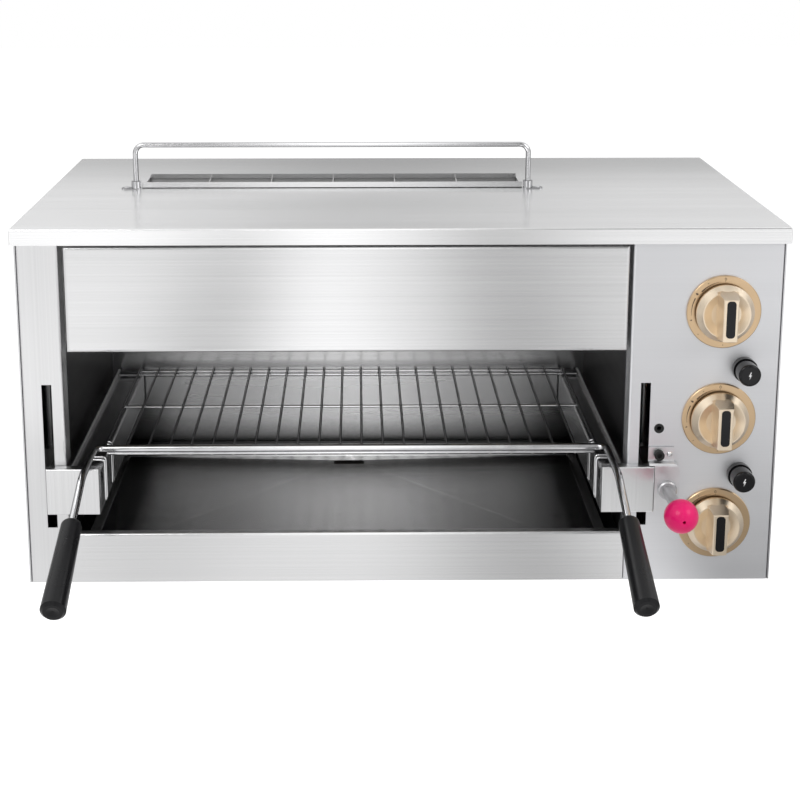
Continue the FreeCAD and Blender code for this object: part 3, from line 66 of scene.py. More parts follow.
RUB_TONE_SPAN = (0.94, 1.04)
# Normal X values where the painted shade on the flanks of wires starts and where it is full
FLANK_SHADE_EDGES = (0.1, 0.5)
PLASTIC_SHINE = 0.2
PLASTIC_PORE_SCALE = 700.0
PLASTIC_PORE_DEPTH = 0.00002
PLASTIC_CLOUD_SCALE = 25.0
PLASTIC_ROUGH_SPAN = (0.85, 1.15)
PLASTIC_TONE_SPAN = (0.9, 1.1)
COAT_ROUGH = 0.06
GRIT_CLOUD_SHARE = 0.08
GRIT_ROUGH_SPAN = (0.85, 1.1)
GRIT_TONE_SPAN = (0.75, 1.15)
TURNED_STRETCH = (1.0, 0.02, 0.03)
TURNED_CLOUD_SCALE = 35.0
TURNED_ROUGH_SPAN = (0.92, 1.08)
TURNED_TONE_SPAN = (0.97, 1.03)
TURNED_DEPTH = 0.000003

# Tones of single parts; a band of painted shade is a row of pairs of a place and its level
STEEL = (0.60, 0.60, 0.61)
# Rims below 1 darken a metal's reflections near grazing angles: painted shade on its edges
SIDE_EDGE_SHADE = 0.4
PANEL_SHEEN = 0.3
TRAY_EDGE_SHADE = 0.7
CHROME_EDGE_SHADE = 0.35
# Tray folds as pairs of ends seen from above, then the width and level of the painted highlight along them
TRAY_FOLDS = (((-0.335, -0.195), (-0.076, 0.099)), ((0.221, -0.195), (-0.038, 0.099)))
TRAY_FOLD_WIDTH = 0.003
TRAY_FOLD_HIGHLIGHT = 0.14
# Painted shade on the tray: darker up its upstands and towards its sides
TRAY_PAINTED_SHADE_UP = ((0.01, 1.0), (0.0195, 1.0), (0.0215, 0.25), (0.034, 0.25))
TRAY_PAINTED_SHADE_ACROSS = ((-0.353, 0.45), (-0.26, 0.66), (-0.03, 1.0), (0.12, 0.68), (0.239, 0.36))
# Painted shade on the lid: darker towards the back and the middle
LID_PAINTED_SHADE_BACK = ((-0.229, 1.0), (-0.03, 0.96), (0.227, 0.62))
LID_PAINTED_SHADE_ACROSS = ((-0.404, 1.0), (-0.3, 1.0), (-0.02, 0.86), (0.3, 0.96), (0.404, 0.96))
# Painted shade on the rear liner: darker at its foot, its top and its ends
REAR_PAINTED_SHADE_UP = ((0.0, 0.15), (0.035, 0.3), (0.075, 0.9), (0.16, 1.0), (0.215, 0.8), (0.262, 0.5))
REAR_PAINTED_SHADE_ACROSS = ((-0.361, 0.5), (-0.26, 0.8), (-0.057, 1.0), (0.14, 0.8), (0.247, 0.45))

# Printed marks
INK = 0.00006
SPARK = [(0.12, 1.0), (-0.42, -0.12), (-0.04, -0.12), (-0.22, -1.0), (0.42, 0.22), (0.04, 0.22), (0.34, 1.0)]
FLAME = [(0.0, 1.0), (-0.18, 0.55), (-0.5, 0.1), (-0.55, -0.45), (-0.25, -0.9), (0.25, -0.9), (0.55, -0.45),
         (0.42, 0.05), (0.22, 0.3), (0.12, 0.6)]
DOT = [(math.cos(math.radians(turn)), math.sin(math.radians(turn))) for turn in range(0, 360, 30)]
MARK_RADIUS = 0.0355
ZERO_ANGLE = 90
ZERO_RADII = (0.0011, 0.0016)
ZERO_STROKE = 0.0005
POINTER_DOT_RADIUS = 0.0004
POINTER_DOT_INSET = 0.003
BANDS = (  # inset from the marks' circle, widths at both ends, angles of both ends
    (0.0026, (0.0001, 0.0014), (98, 138)),
    (0.0012, (0.0012, 0.0002), (154, 186)),
)
FLAMES = ((146, 0.0020, 56), (194, 0.0013, 104))  # place, size, turn
STEP_DOT_ANGLES = (120, 222, 270)
STEP_DOT_RADIUS = 0.0005
SPARK_SIZE = 0.0040
RING_STEPS = 20
ARC_STEPS = 12

# Weld beads of the rack, trim of the flue with a dark bead of painted shade, and wire cloth under the burners
RACK_ACROSS = -0.053
WIRE_COUNT = 24
WIRE_HALF_SPAN = 0.26795
WIRE_LEVEL = 0.138
FRONT_WIRE_BACK = -0.185
FRONT_WIRE_LEVEL = 0.1309
CROSS_WIRE_BACK = -0.032
REAR_WIRE_BACK = 0.115
BURNER_COUNT = 3
BURNER_PITCH = 0.195
SCREEN_FRAME = 0.006
CLOTH_WIRE = 0.0005
CLOTH_LONG = 60
CLOTH_SHORT = 64
BEAD_SINK = 0.0012
BEAD_RADII = {
    "front": (0.0016, 0.0012, 0.0008),
    "cross": (0.0021, 0.0021, 0.0010),
    "rear": (0.0022, 0.0024, 0.0011),
}
BEAD_SEGMENTS = 10
BEAD_RINGS = 6
LIP_LEFT, LIP_RIGHT = -0.2968, 0.1478
LIP_FRONT = 0.008
LIP_RISE = 0.007
HEM_RADIUS = 0.0009
# Radius of a dark bead of painted shade at the foot of the flue's lip
SHADE_BEAD_RADIUS = 0.0009
TRIM_SIDES = 10

# Stage
FLOOR_REACH = 6.0
FLOOR_GAP = 0.0003
FLOOR_COLOUR = (0.88, 0.88, 0.88)
FLOOR_LIFT = 0.6
FLOOR_BANDS = ((-1.0, 1.1), (-0.46, 1.5), (-0.27, 0.62), (-0.12, 1.42), (0.04, 1.08), (0.24, 0.48), (0.46, 1.3),
               (1.0, 1.2))
NEAR_BANDS = ((-1.0, 1.0), (-0.4, 1.1), (-0.28, 0.98), (-0.07, 1.12), (0.15, 0.66), (0.27, 1.0), (0.36, 0.45),
              (1.0, 0.7))
BEHIND = ((-1.0, 1.0), (0.1, 1.0), (0.5, 0.4), (4.0, 0.5))
NEARNESS = ((-1.5, 0.0), (-0.95, 0.0), (-0.5, 1.0), (0.0, 1.0))
POOL_ACROSS = ((-1.0, 0.0), (-0.27, 0.0), (-0.06, 1.0), (0.15, 0.0), (1.0, 0.0))
POOL_BACK = ((-1.5, 0.0), (-1.08, 0.0), (-0.75, 1.0), (-0.46, 0.0), (0.0, 0.0))
POOL_LEVEL = 1.6
SKY_BANDS = ((-0.2, 0.4), (0.1, 0.45), (0.19, 1.05), (0.32, 0.5), (0.5, 1.3), (0.75, 1.3), (1.0, 1.1))
SKY_TURN = ((-1.0, 0.0), (-0.2, 0.0), (0.15, 1.0), (1.0, 1.0))
FRONT_ACROSS = ((-1.0, 0.9), (-0.5, 0.9), (-0.13, 0.35), (0.0, 2.1), (0.12, 0.35), (0.5, 0.9), (1.0, 0.9))
SKY_ACROSS = ((-1.0, 1.0), (-0.18, 1.08), (0.0, 0.88), (0.2, 1.08), (1.0, 1.0))
WORLD_LIGHT = 0.55
CAMERA_PLACE = (-0.0465, -1.8317, 0.7223)
CAMERA_PITCH = 12.69
CAMERA_YAW = 0.72
CAMERA_LENS = 71.69
CAMERA_SHIFT = (0.03, -0.18)
CAMERA_CLIP = (0.05, 50.0)
LAMPS = (  # name, place, aim, size, power
    ("key_lamp", (-1.2, -1.8, 1.9), (0, 0, 0.2), (1.2, 1.2), 22),
    ("fill_lamp", (1.6, -1.2, 1.4), (0, 0, 0.2), (1.0, 1.0), 10),
)


# Finishes


def new_finish(name, colour, metal, rough):
    """A material with one Principled shader, and its node tree and shader."""
    material = bpy.data.materials.new(name)
    material.use_nodes = True
    tree = material.node_tree
    shader = tree.nodes["Principled BSDF"]
    shader.inputs["Base Color"].default_value = (*colour, 1)
    shader.inputs["Metallic"].default_value = metal
    shader.inputs["Roughness"].default_value = rough
    return material, tree, shader


def place_on_object(tree, stretch=(1, 1, 1)):
    """Object coordinates, stretched along each axis, for a pattern that stays on the piece."""
    coordinates = tree.nodes.new("ShaderNodeTexCoord")
    mapping = tree.nodes.new("ShaderNodeMapping")
    mapping.inputs["Scale"].default_value = stretch
    tree.links.new(coordinates.outputs["Object"], mapping.inputs["Vector"])
    return mapping.outputs["Vector"]


def noise(tree, where, scale, detail=2.0, rough=0.5):
    """A noise pattern between 0 and 1."""
    node = tree.nodes.new("ShaderNodeTexNoise")
    node.inputs["Scale"].default_value = scale
    node.inputs["Detail"].default_value = detail
    node.inputs["Roughness"].default_value = rough
    tree.links.new(where, node.inputs["Vector"])
    return node.outputs["Fac"]


def spread(tree, value, low, high):
    """Turns a pattern's middle values into the range from low to high."""
    node = tree.nodes.new("ShaderNodeMapRange")
    node.inputs["From Min"].default_value, node.inputs["From Max"].default_value = PATTERN_SPAN
    node.inputs["To Min"].default_value = low
    node.inputs["To Max"].default_value = high
    tree.links.new(value, node.inputs["Value"])
    return node.outputs["Result"]


def tinted(tree, shader, value, dark, light):
    """Lets a pattern move the base colour between a dark and a light one."""
    node = tree.nodes.new("ShaderNodeMix")
    node.data_type = "RGBA"
    node.inputs["A"].default_value = (*dark, 1)
    node.inputs["B"].default_value = (*light, 1)
    tree.links.new(value, node.inputs["Factor"])
    tree.links.new(node.outputs["Result"], shader.inputs["Base Color"])


def bumped(tree, shader, value, depth):
    """Lets a pattern raise and sink the surface by up to the depth."""
    node = tree.nodes.new("ShaderNodeBump")
    node.inputs["Distance"].default_value = depth
    node.inputs["Strength"].default_value = 1.0
    tree.links.new(value, node.inputs["Height"])
    tree.links.new(node.outputs["Normal"], shader.inputs["Normal"])


def scaled(colour, factor):
    """The same colour, lighter or darker."""
    return tuple(min(1.0, part * factor) for part in colour)


def varied(tree, shader, value, colour, span):
    """Lets a pattern move the base colour between two shades of one colour."""
    tinted(tree, shader, spread(tree, value, 0.0, 1.0), scaled(colour, span[0]), scaled(colour, span[1]))


def roughened(tree, shader, value, rough, span):
    """Lets a pattern move the roughness between two shares of it."""
    tree.links.new(spread(tree, value, rough * span[0], rough * span[1]), shader.inputs["Roughness"])


def calculated(tree, kind, *values):
    """The result of a Math node on numbers and sockets."""
    node = tree.nodes.new("ShaderNodeMath")
    node.operation = kind
    for socket, value in zip(node.inputs, values):
        if isinstance(value, bpy.types.NodeSocket):
            tree.links.new(value, socket)
        else:
            socket.default_value = value
    return node.outputs[0]


def banded(tree, value, bands):
    """Grey levels along a value: bands are pairs of a place on it and its level, in rising order."""
    low, high = bands[0][0], bands[-1][0]
    share = tree.nodes.new("ShaderNodeMapRange")
    share.inputs["From Min"].default_value = low
    share.inputs["From Max"].default_value = high
    ramp = tree.nodes.new("ShaderNodeValToRGB")
    ramp.color_ramp.interpolation = "EASE"
    stops = ramp.color_ramp.elements
    while len(stops) < len(bands):
        stops.new(0.5)
    for stop, (at, level) in zip(stops, bands):
        stop.position = (at - low) / (high - low)
        stop.color = (level, level, level, 1)
    tree.links.new(value, share.inputs["Value"])
    tree.links.new(share.outputs["Result"], ramp.inputs["Fac"])
    return ramp.outputs["Color"]


def split_place(tree, output):
    """X, Y and Z of the place or the direction that a shader works on."""
    coordinates = tree.nodes.new("ShaderNodeTexCoord")
    split = tree.nodes.new("ShaderNodeSeparateXYZ")
    tree.links.new(coordinates.outputs[output], split.inputs["Vector"])
    return split.outputs


def blended(tree, kind, factor, first, second):
    """Two colours joined by a factor, in one of the ways of a Mix node."""
    mix = tree.nodes.new("ShaderNodeMix")
    mix.data_type = "RGBA"
    mix.blend_type = kind
    mix.clamp_result = False
    for socket, value in (("Factor", factor), ("A", first), ("B", second)):
        if isinstance(value, bpy.types.NodeSocket):
            tree.links.new(value, mix.inputs[socket])
        else:
            mix.inputs[socket].default_value = value
    return mix.outputs["Result"]


def darkened(tree, shader, value):
    """Multiplies whatever drives the base colour by a grey."""
    link = shader.inputs["Base Color"].links[0]
    tree.links.new(blended(tree, "MULTIPLY", 1.0, link.from_socket, value), shader.inputs["Base Color"])


def with_painted_shade(material, **bands):
    """Darkens a finish's base colour in soft bands along the piece's X, Y or Z: painted shade."""
    tree = material.node_tree
    place = split_place(tree, "Object")
    for axis, tones in bands.items():
        tone = banded(tree, place[axis], tones)
        darkened(tree, tree.nodes["Principled BSDF"], tone)
    return material


def with_painted_fold_highlights(material, folds, width, lift):
    """Painted highlights along shallow folds pressed into a sheet: faint bright lines added to the base colour,
    each between two places seen from above.
    """
    tree = material.node_tree
    shader = tree.nodes["Principled BSDF"]
    coordinates = tree.nodes.new("ShaderNodeTexCoord")
    total = None
    for (x1, y1), (x2, y2) in folds:
        length = math.hypot(x2 - x1, y2 - y1)
        square = ((y2 - y1) / length, (x1 - x2) / length, 0)
        dot = tree.nodes.new("ShaderNodeVectorMath")
        dot.operation = "DOT_PRODUCT"
        tree.links.new(coordinates.outputs["Object"], dot.inputs[0])
        dot.inputs[1].default_value = square
        offset = calculated(tree, "SUBTRACT", dot.outputs["Value"], square[0] * x1 + square[1] * y1)
        near = tree.nodes.new("ShaderNodeMapRange")
        near.interpolation_type = "SMOOTHSTEP"
        tree.links.new(calculated(tree, "ABSOLUTE", offset), near.inputs["Value"])
        near.inputs["From Min"].default_value = 0.0
        near.inputs["From Max"].default_value = width
        near.inputs["To Min"].default_value = 1.0
        near.inputs["To Max"].default_value = 0.0
        nearness = near.outputs["Result"]
        total = nearness if total is None else calculated(tree, "MAXIMUM", total, nearness)
    link = shader.inputs["Base Color"].links[0]
    shine = blended(tree, "MIX", total, (0, 0, 0, 1), (lift, lift, lift, 1))
    bright = blended(tree, "ADD", 1.0, link.from_socket, shine)
    tree.links.new(bright, shader.inputs["Base Color"])
    return material


def brushed_steel(name, colour, rough, grain, depth=0.000012, streak=0.035, cloud=0.03, rim=1.0,
                  sheen=GRAIN_SPREAD):
    """Stainless sheet with a grain along one axis, faint streaks and slow changes of tone."""
    material, tree, shader = new_finish(name, colour, 1.0, rough)
    shader.inputs["Anisotropic"].default_value = sheen
    # A rim below 1 darkens the reflections near grazing angles: painted shade on edges
    shader.inputs["Specular Tint"].default_value = (rim, rim, rim, 1)
    tangent = tree.nodes.new("ShaderNodeTangent")
    tangent.direction_type = "RADIAL"
    tangent.axis = ROUND_AXIS[grain]
    tree.links.new(tangent.outputs["Tangent"], shader.inputs["Tangent"])
    lines = noise(tree, place_on_object(tree, GRAIN_STRETCH[grain]), 1.0, detail=3.0, rough=0.6)
    wide_stretch = [part ** WIDE_GRAIN_POWER for part in GRAIN_STRETCH[grain]]
    wide = noise(tree, place_on_object(tree, wide_stretch), WIDE_GRAIN_SCALE)
    clouds = noise(tree, place_on_object(tree), CLOUD_SCALE)
    change = streak + cloud
    cloud_part = calculated(tree, "MULTIPLY", clouds, cloud / change)
    tone = calculated(tree, "MULTIPLY_ADD", lines, streak / change, cloud_part)
    varied(tree, shader, tone, colour, (1 - change, 1 + change))
    roughened(tree, shader, wide, rough, GRAIN_ROUGH_SPAN)
    bumped(tree, shader, lines, depth)
    return material


def polished(name, colour, rough, rim=1.0, flank_shade=None):
    """Drawn or plated metal with faint rub marks; the flank shade is painted shade, a darker base colour on
    sides that face across.
    """
    material, tree, shader = new_finish(name, colour, 1.0, rough)
    # A rim below 1 darkens the reflections near grazing angles: painted shade on edges
    shader.inputs["Specular Tint"].default_value = (rim, rim, rim, 1)
    rubs = noise(tree, place_on_object(tree), RUB_SCALE, detail=4.0, rough=0.6)
    roughened(tree, shader, rubs, rough, RUB_ROUGH_SPAN)
    varied(tree, shader, rubs, colour, RUB_TONE_SPAN)
    # Sides that face across get a darker base colour: painted shade
    if flank_shade:
        plain, full = FLANK_SHADE_EDGES
        tones = ((-1.0, flank_shade), (-full, flank_shade), (-plain, 1.0), (plain, 1.0), (full, flank_shade), (1.0, flank_shade))
        darkened(tree, shader, banded(tree, split_place(tree, "Normal")["X"], tones))
    return material


def moulded(name, colour, rough, coat=0.0):
    """Plastic with a fine moulded grain, and a clear skin where it is glossy."""
    material, tree, shader = new_finish(name, colour, 0.0, rough)
    grain = noise(tree, place_on_object(tree), PLASTIC_PORE_SCALE, detail=3.0)
    slow = noise(tree, place_on_object(tree), PLASTIC_CLOUD_SCALE)
    varied(tree, shader, slow, colour, PLASTIC_TONE_SPAN)
    roughened(tree, shader, slow, rough, PLASTIC_ROUGH_SPAN)
    bumped(tree, shader, grain, PLASTIC_PORE_DEPTH)
    shader.inputs["Specular IOR Level"].default_value = PLASTIC_SHINE
    shader.inputs["Coat Weight"].default_value = coat
    shader.inputs["Coat Roughness"].default_value = COAT_ROUGH
    return material


def rough_solid(name, colour, rough, grain, depth):
    """Cast iron, ceramic or other coarse stuff: mottled, with a visible grain."""
    material, tree, shader = new_finish(name, colour, 0.0, rough)
    grit = noise(tree, place_on_object(tree), grain, detail=6.0, rough=0.65)
    slow = noise(tree, place_on_object(tree), grain * GRIT_CLOUD_SHARE, detail=3.0)
    varied(tree, shader, slow, colour, GRIT_TONE_SPAN)
    roughened(tree, shader, grit, rough, GRIT_ROUGH_SPAN)
    bumped(tree, shader, grit, depth)
    return material


def turned_metal(name, colour, rough, pitch):
    """Anodised or turned metal with fine straight brushing and slow changes of tone."""
    material, tree, shader = new_finish(name, colour, 1.0, rough)
    stretch = [pitch * part for part in TURNED_STRETCH]
    lines = noise(tree, place_on_object(tree, stretch), 1.0, detail=3.0, rough=0.6)
    slow = noise(tree, place_on_object(tree), TURNED_CLOUD_SCALE)
    varied(tree, shader, slow, colour, TURNED_TONE_SPAN)
    roughened(tree, shader, lines, rough, TURNED_ROUGH_SPAN)
    bumped(tree, shader, lines, TURNED_DEPTH)
    return material


FINISHES = {
    # The lid's base colour carries painted shade in bands
    "top_steel": with_painted_shade(brushed_steel("top_steel", (0.86, 0.86, 0.865), 0.24, "across", rim=0.9),
                        Y=LID_PAINTED_SHADE_BACK, X=LID_PAINTED_SHADE_ACROSS),
    "front_steel": brushed_steel("front_steel", (0.66, 0.66, 0.665), 0.24, "across"),
    "post_steel": brushed_steel("post_steel", (0.66, 0.66, 0.665), 0.30, "up"),
    "panel_steel": brushed_steel("panel_steel", (0.68, 0.683, 0.70), 0.45, "across", depth=0.000004,
                                 streak=0.01, cloud=0.02, sheen=PANEL_SHEEN),
    "casing_steel": brushed_steel("casing_steel", STEEL, 0.32, "up"),
    "base_steel": brushed_steel("base_steel", (0.5, 0.5, 0.5), 0.4, "across"),
    # The rear liner's pale base colour is painted light, and its bands are painted shade
    "liner_steel": with_painted_shade(brushed_steel("liner_steel", (0.92, 0.92, 0.925), 0.26, "across", depth=0.000001,
                                        streak=0.015, cloud=0.02),
                          Z=REAR_PAINTED_SHADE_UP, X=REAR_PAINTED_SHADE_ACROSS),
    # The side liners are a dark copy of the liner steel: painted shade on the cavity's sides
    "side_liner_steel": brushed_steel("side_liner_steel", (0.16, 0.16, 0.165), 0.3, "back", depth=0.000006,
                                      streak=0.02, cloud=0.03, rim=SIDE_EDGE_SHADE),
    # Painted highlights along the tray's folds
    "tray_steel": with_painted_shade(with_painted_fold_highlights(brushed_steel("tray_steel", (0.72, 0.72, 0.725), 0.22, "across",
                                               depth=0.000004, streak=0.02, cloud=0.03, rim=TRAY_EDGE_SHADE),
                                 TRAY_FOLDS, TRAY_FOLD_WIDTH, TRAY_FOLD_HIGHLIGHT),
                         # Painted shade on the tray's upstands and towards its sides
                         Z=TRAY_PAINTED_SHADE_UP, X=TRAY_PAINTED_SHADE_ACROSS),
    "cup_steel": brushed_steel("cup_steel", (0.07, 0.065, 0.06), 0.4, "across", rim=0.2),
    "carrier_steel": brushed_steel("carrier_steel", (0.45, 0.45, 0.455), 0.25, "back"),
    "block_steel": brushed_steel("block_steel", (0.68, 0.68, 0.685), 0.24, "up"),
    "guide_steel": brushed_steel("guide_steel", (0.55, 0.55, 0.55), 0.25, "up"),
    "pipe_steel": brushed_steel("pipe_steel", (0.5, 0.5, 0.5), 0.4, "up"),
    "chrome": polished("chrome", (0.60, 0.60, 0.61), 0.10, CHROME_EDGE_SHADE),
    "rack_chrome": polished("rack_chrome", (0.66, 0.66, 0.67), 0.14, CHROME_EDGE_SHADE),
    "wire_chrome": polished("wire_chrome", (0.80, 0.80, 0.81), 0.14, CHROME_EDGE_SHADE, flank_shade=0.2),
    "lever_chrome": polished("lever_chrome", (0.68, 0.68, 0.69), 0.36),
    "satin_aluminium": turned_metal("satin_aluminium", (0.50, 0.50, 0.51), 0.36, 1500.0),
    "knob_gold": turned_metal("knob_gold", (0.80, 0.675, 0.52), 0.33, 1600.0),
    "bezel_gold": turned_metal("bezel_gold", (0.58, 0.42, 0.26), 0.30, 1800.0),
    "brass": polished("brass", (0.70, 0.52, 0.24), 0.28),
    "copper": polished("copper", (0.72, 0.40, 0.27), 0.25),
    "ball_pink": moulded("ball_pink", (0.80, 0.010, 0.15), 0.32, coat=0.12),
    "grip_black": moulded("grip_black", (0.008, 0.008, 0.009), 0.30),
    "gloss_black": moulded("gloss_black", (0.006, 0.006, 0.007), 0.14, coat=0.1),
    "dull_black": moulded("dull_black", (0.02, 0.02, 0.02), 0.5),
    "cast_iron": rough_solid("cast_iron", (0.09, 0.088, 0.085), 0.6, 500.0, 0.0002),
    "ceramic": rough_solid("ceramic", (0.78, 0.70, 0.58), 0.85, 350.0, 0.0001),
    "glazed_white": moulded("glazed_white", (0.82, 0.80, 0.76), 0.2, coat=0.4),
    "screen_steel": polished("screen_steel", (0.33, 0.29, 0.26), 0.4),
    "mark_white": moulded("mark_white", (0.85, 0.85, 0.85), 0.4),
    "mark_dark": moulded("mark_dark", (0.10, 0.07, 0.05), 0.5),
    "weld_chrome": polished("weld_chrome", (0.75, 0.75, 0.75), 0.2),
}

FINISH_OF = {
    "top_steel": ["top_cap"],
    "front_steel": ["hood_front_panel", "lower_front_panel"],
    "post_steel": ["left_front_post"],
    "panel_steel": ["control_panel"],
    "casing_steel": ["left_side_panel", "right_side_panel", "rear_panel"],
    "base_steel": ["base_panel", "burner_deck", "flue_duct"],
    "liner_steel": ["liner_rear"],
    "side_liner_steel": ["liner_left", "liner_right"],
    "tray_steel": ["drip_tray", "tray_rails"],
    "cup_steel": ["grease_cup"],
    "carrier_steel": ["left_carrier", "right_carrier"],
    "block_steel": ["left_front_block", "right_front_block"],
    "guide_steel": ["guide_rods", "guide_brackets", "left_carriage", "right_carriage", "cross_tie_bar"],
    "pipe_steel": ["gas_manifold", "spindle_1", "spindle_2", "spindle_3", "return_collar_1",
                   "return_collar_2", "return_collar_3"],
    "chrome": ["gallery_rail", "casing_screws"],
    "rack_chrome": ["rack_frame"],
    "wire_chrome": ["rack_grid"],
    "lever_chrome": ["lever_arm"],
    "satin_aluminium": ["lever_rod"],
    "knob_gold": ["knob_1", "knob_2", "knob_3"],
    "bezel_gold": ["dial_bezels"],
    "brass": ["gas_taps"],
    "copper": ["gas_feed_tubes"],
    "ball_pink": ["lever_ball"],
    "grip_black": ["left_grip", "right_grip"],
    "gloss_black": ["knob_insert_1", "knob_insert_2", "knob_insert_3", "igniter_button_1",
                    "igniter_button_2", "igniter_sleeves"],
    "dull_black": ["detent_plunger", "detent_bushes"],
    "cast_iron": ["burner_bodies"],
    "ceramic": ["burner_ceramics"],
    "glazed_white": ["electrodes_and_sensors"],
    "screen_steel": ["burner_screens"],
}


def dress_solids():
    """Gives every solid of the frame its finish."""
    for finish, nodes in FINISH_OF.items():
        for node in nodes:
            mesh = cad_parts[node].data
            mesh.materials.clear()
            mesh.materials.append(FINISHES[finish])


# Pieces made here


def new_piece(name, mesh, finish, body):
    """Adds a mesh as a piece of the object that rides on one body, with its finish."""
    piece = bpy.data.objects.new(name, mesh)
    bpy.context.collection.objects.link(piece)
    mesh.materials.clear()
    mesh.materials.append(FINISHES[finish])
    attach(piece, body)


def ring_outline(centre, radii, width):
    """Four-sided patches of an upright oval ring, as outlines on the front plane."""
    patches = []
    for index in range(RING_STEPS):
        corners = []
        for turn, inset in ((index, 0), (index + 1, 0), (index + 1, width), (index, width)):
            angle = 2 * math.pi * turn / RING_STEPS
            corners.append((centre[0] + (radii[0] - inset) * math.cos(angle),
                            centre[1] + (radii[1] - inset) * math.sin(angle)))
        patches.append(corners)
    return patches


def arc_outline(centre, radius, widths, angles):
    """Patches of a curved wedge that runs round a dial and changes width along the way."""
    patches = []
    for index in range(ARC_STEPS):
        corners = []
        for turn, side in ((index, -1), (index + 1, -1), (index + 1, 1), (index, 1)):
            share = turn / ARC_STEPS
            angle = math.radians(angles[0] + (angles[1] - angles[0]) * share)
            reach = radius + side * (widths[0] + (widths[1] - widths[0]) * share) / 2
            corners.append((centre[0] + reach * math.cos(angle), centre[1] + reach * math.sin(angle)))
        patches.append(corners)
    return patches


def shape_outline(points, centre, size, turn=0.0):
    """A closed outline, scaled, turned by degrees and put at a centre."""
    cosine, sine = math.cos(math.radians(turn)), math.sin(math.radians(turn))
    return [(centre[0] + size * (x * cosine - y * sine), centre[1] + size * (x * sine + y * cosine))
            for x, y in points]


def sign_mesh(name, outlines, front):
    """Thin printed shapes that stand on an upright face, as a closed mesh."""
    shapes = bmesh.new()
    for outline in outlines:
        front_ring = [shapes.verts.new((x, front - INK, z)) for x, z in outline]
        back_ring = [shapes.verts.new((x, front + INK, z)) for x, z in outline]
        shapes.faces.new(front_ring)
        shapes.faces.new(back_ring[::-1])
        for index in range(len(outline)):
            after = (index + 1) % len(outline)
            shapes.faces.new((front_ring[index], back_ring[index], back_ring[after], front_ring[after]))
    bmesh.ops.remove_doubles(shapes, verts=shapes.verts, dist=INK / 10)
    bmesh.ops.recalc_face_normals(shapes, faces=shapes.faces)
    bmesh.ops.triangulate(shapes, faces=[face for face in shapes.faces if len(face.verts) > 4])
    mesh = bpy.data.meshes.new(name)
    shapes.to_mesh(mesh)
    shapes.free()
    return mesh


def around(centre, radius, angle):
    """The point on a dial at a radius and an angle in degrees."""
    turn = math.radians(angle)
    return (centre[0] + radius * math.cos(turn), centre[1] + radius * math.sin(turn))


def add_dial_marks():
    """Zero, flames and a tapering band, printed on each dial plate."""
    low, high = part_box("dial_bezels")
    across = (low[0] + high[0]) / 2
    outlines = []
    for number in ("1", "2", "3"):
        knob_low, knob_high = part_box("knob_" + number)
        centre = (across, (knob_low[2] + knob_high[2]) / 2)
        outlines += ring_outline(around(centre, MARK_RADIUS, ZERO_ANGLE), ZERO_RADII, ZERO_STROKE)
        outlines.append(shape_outline(DOT, around(centre, MARK_RADIUS - POINTER_DOT_INSET, ZERO_ANGLE),
                                      POINTER_DOT_RADIUS))
        for (inset, widths, angles), (place, size, turn) in zip(BANDS, FLAMES):
            outlines += arc_outline(centre, MARK_RADIUS - inset, widths, angles)
            outlines.append(shape_outline(FLAME, around(centre, MARK_RADIUS, place), size, turn))
        for angle in STEP_DOT_ANGLES:
            outlines.append(shape_outline(DOT, around(centre, MARK_RADIUS, angle), STEP_DOT_RADIUS))
    new_piece("dial_marks", sign_mesh("dial_marks", outlines, low[1] - INK / 2), "mark_dark", "casing")


def add_spark_signs():
    """A white spark on the cap of each igniter button."""
    for number in ("1", "2"):
        low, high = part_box("igniter_button_" + number)
        centre = ((low[0] + high[0]) / 2, (low[2] + high[2]) / 2)
        outline = shape_outline(SPARK, centre, SPARK_SIZE)
        name = "spark_sign_" + number
        new_piece(name, sign_mesh(name, [outline], low[1] - INK / 2), "mark_white", "igniter_" + number)


def new_tree(name, inputs):
    """A node tree that makes a mesh from named inputs, with its input and output nodes."""
    tree = bpy.data.node_groups.new(name, "GeometryNodeTree")
    tree.interface.new_socket("Geometry", in_out="OUTPUT", socket_type="NodeSocketGeometry")
    for label, kind in inputs.items():
        tree.interface.new_socket(label, in_out="INPUT", socket_type="NodeSocket" + kind)
    return tree, tree.nodes.new("NodeGroupInput"), tree.nodes.new("NodeGroupOutput")


def bead_tree():
    """Node tree: beads in even steps along a line, each a low ball stretched along the axes."""
    tree, given, result = new_tree("bead_row", {"Count": "Int", "Start": "Vector", "Step": "Vector",
                                                "Radii": "Vector", "Finish": "Material"})
    line = tree.nodes.new("GeometryNodeMeshLine")
    ball = tree.nodes.new("GeometryNodeMeshUVSphere")
    ball.inputs["Segments"].default_value = BEAD_SEGMENTS
    ball.inputs["Rings"].default_value = BEAD_RINGS
    ball.inputs["Radius"].default_value = 1.0
    copies = tree.nodes.new("GeometryNodeInstanceOnPoints")
    real = tree.nodes.new("GeometryNodeRealizeInstances")
    smooth = tree.nodes.new("GeometryNodeSetShadeSmooth")
    paint = tree.nodes.new("GeometryNodeSetMaterial")
    link = tree.links.new
    link(given.outputs["Count"], line.inputs["Count"])
    link(given.outputs["Start"], line.inputs["Start Location"])
    link(given.outputs["Step"], line.inputs["Offset"])
    link(line.outputs["Mesh"], copies.inputs["Points"])
    link(ball.outputs["Mesh"], copies.inputs["Instance"])
    link(given.outputs["Radii"], copies.inputs["Scale"])
    link(copies.outputs["Instances"], real.inputs["Geometry"])
    link(real.outputs["Geometry"], smooth.inputs["Geometry"])
    link(smooth.outputs["Geometry"], paint.inputs["Geometry"])
    link(given.outputs["Finish"], paint.inputs["Material"])
    link(paint.outputs["Geometry"], result.inputs["Geometry"])
    return tree


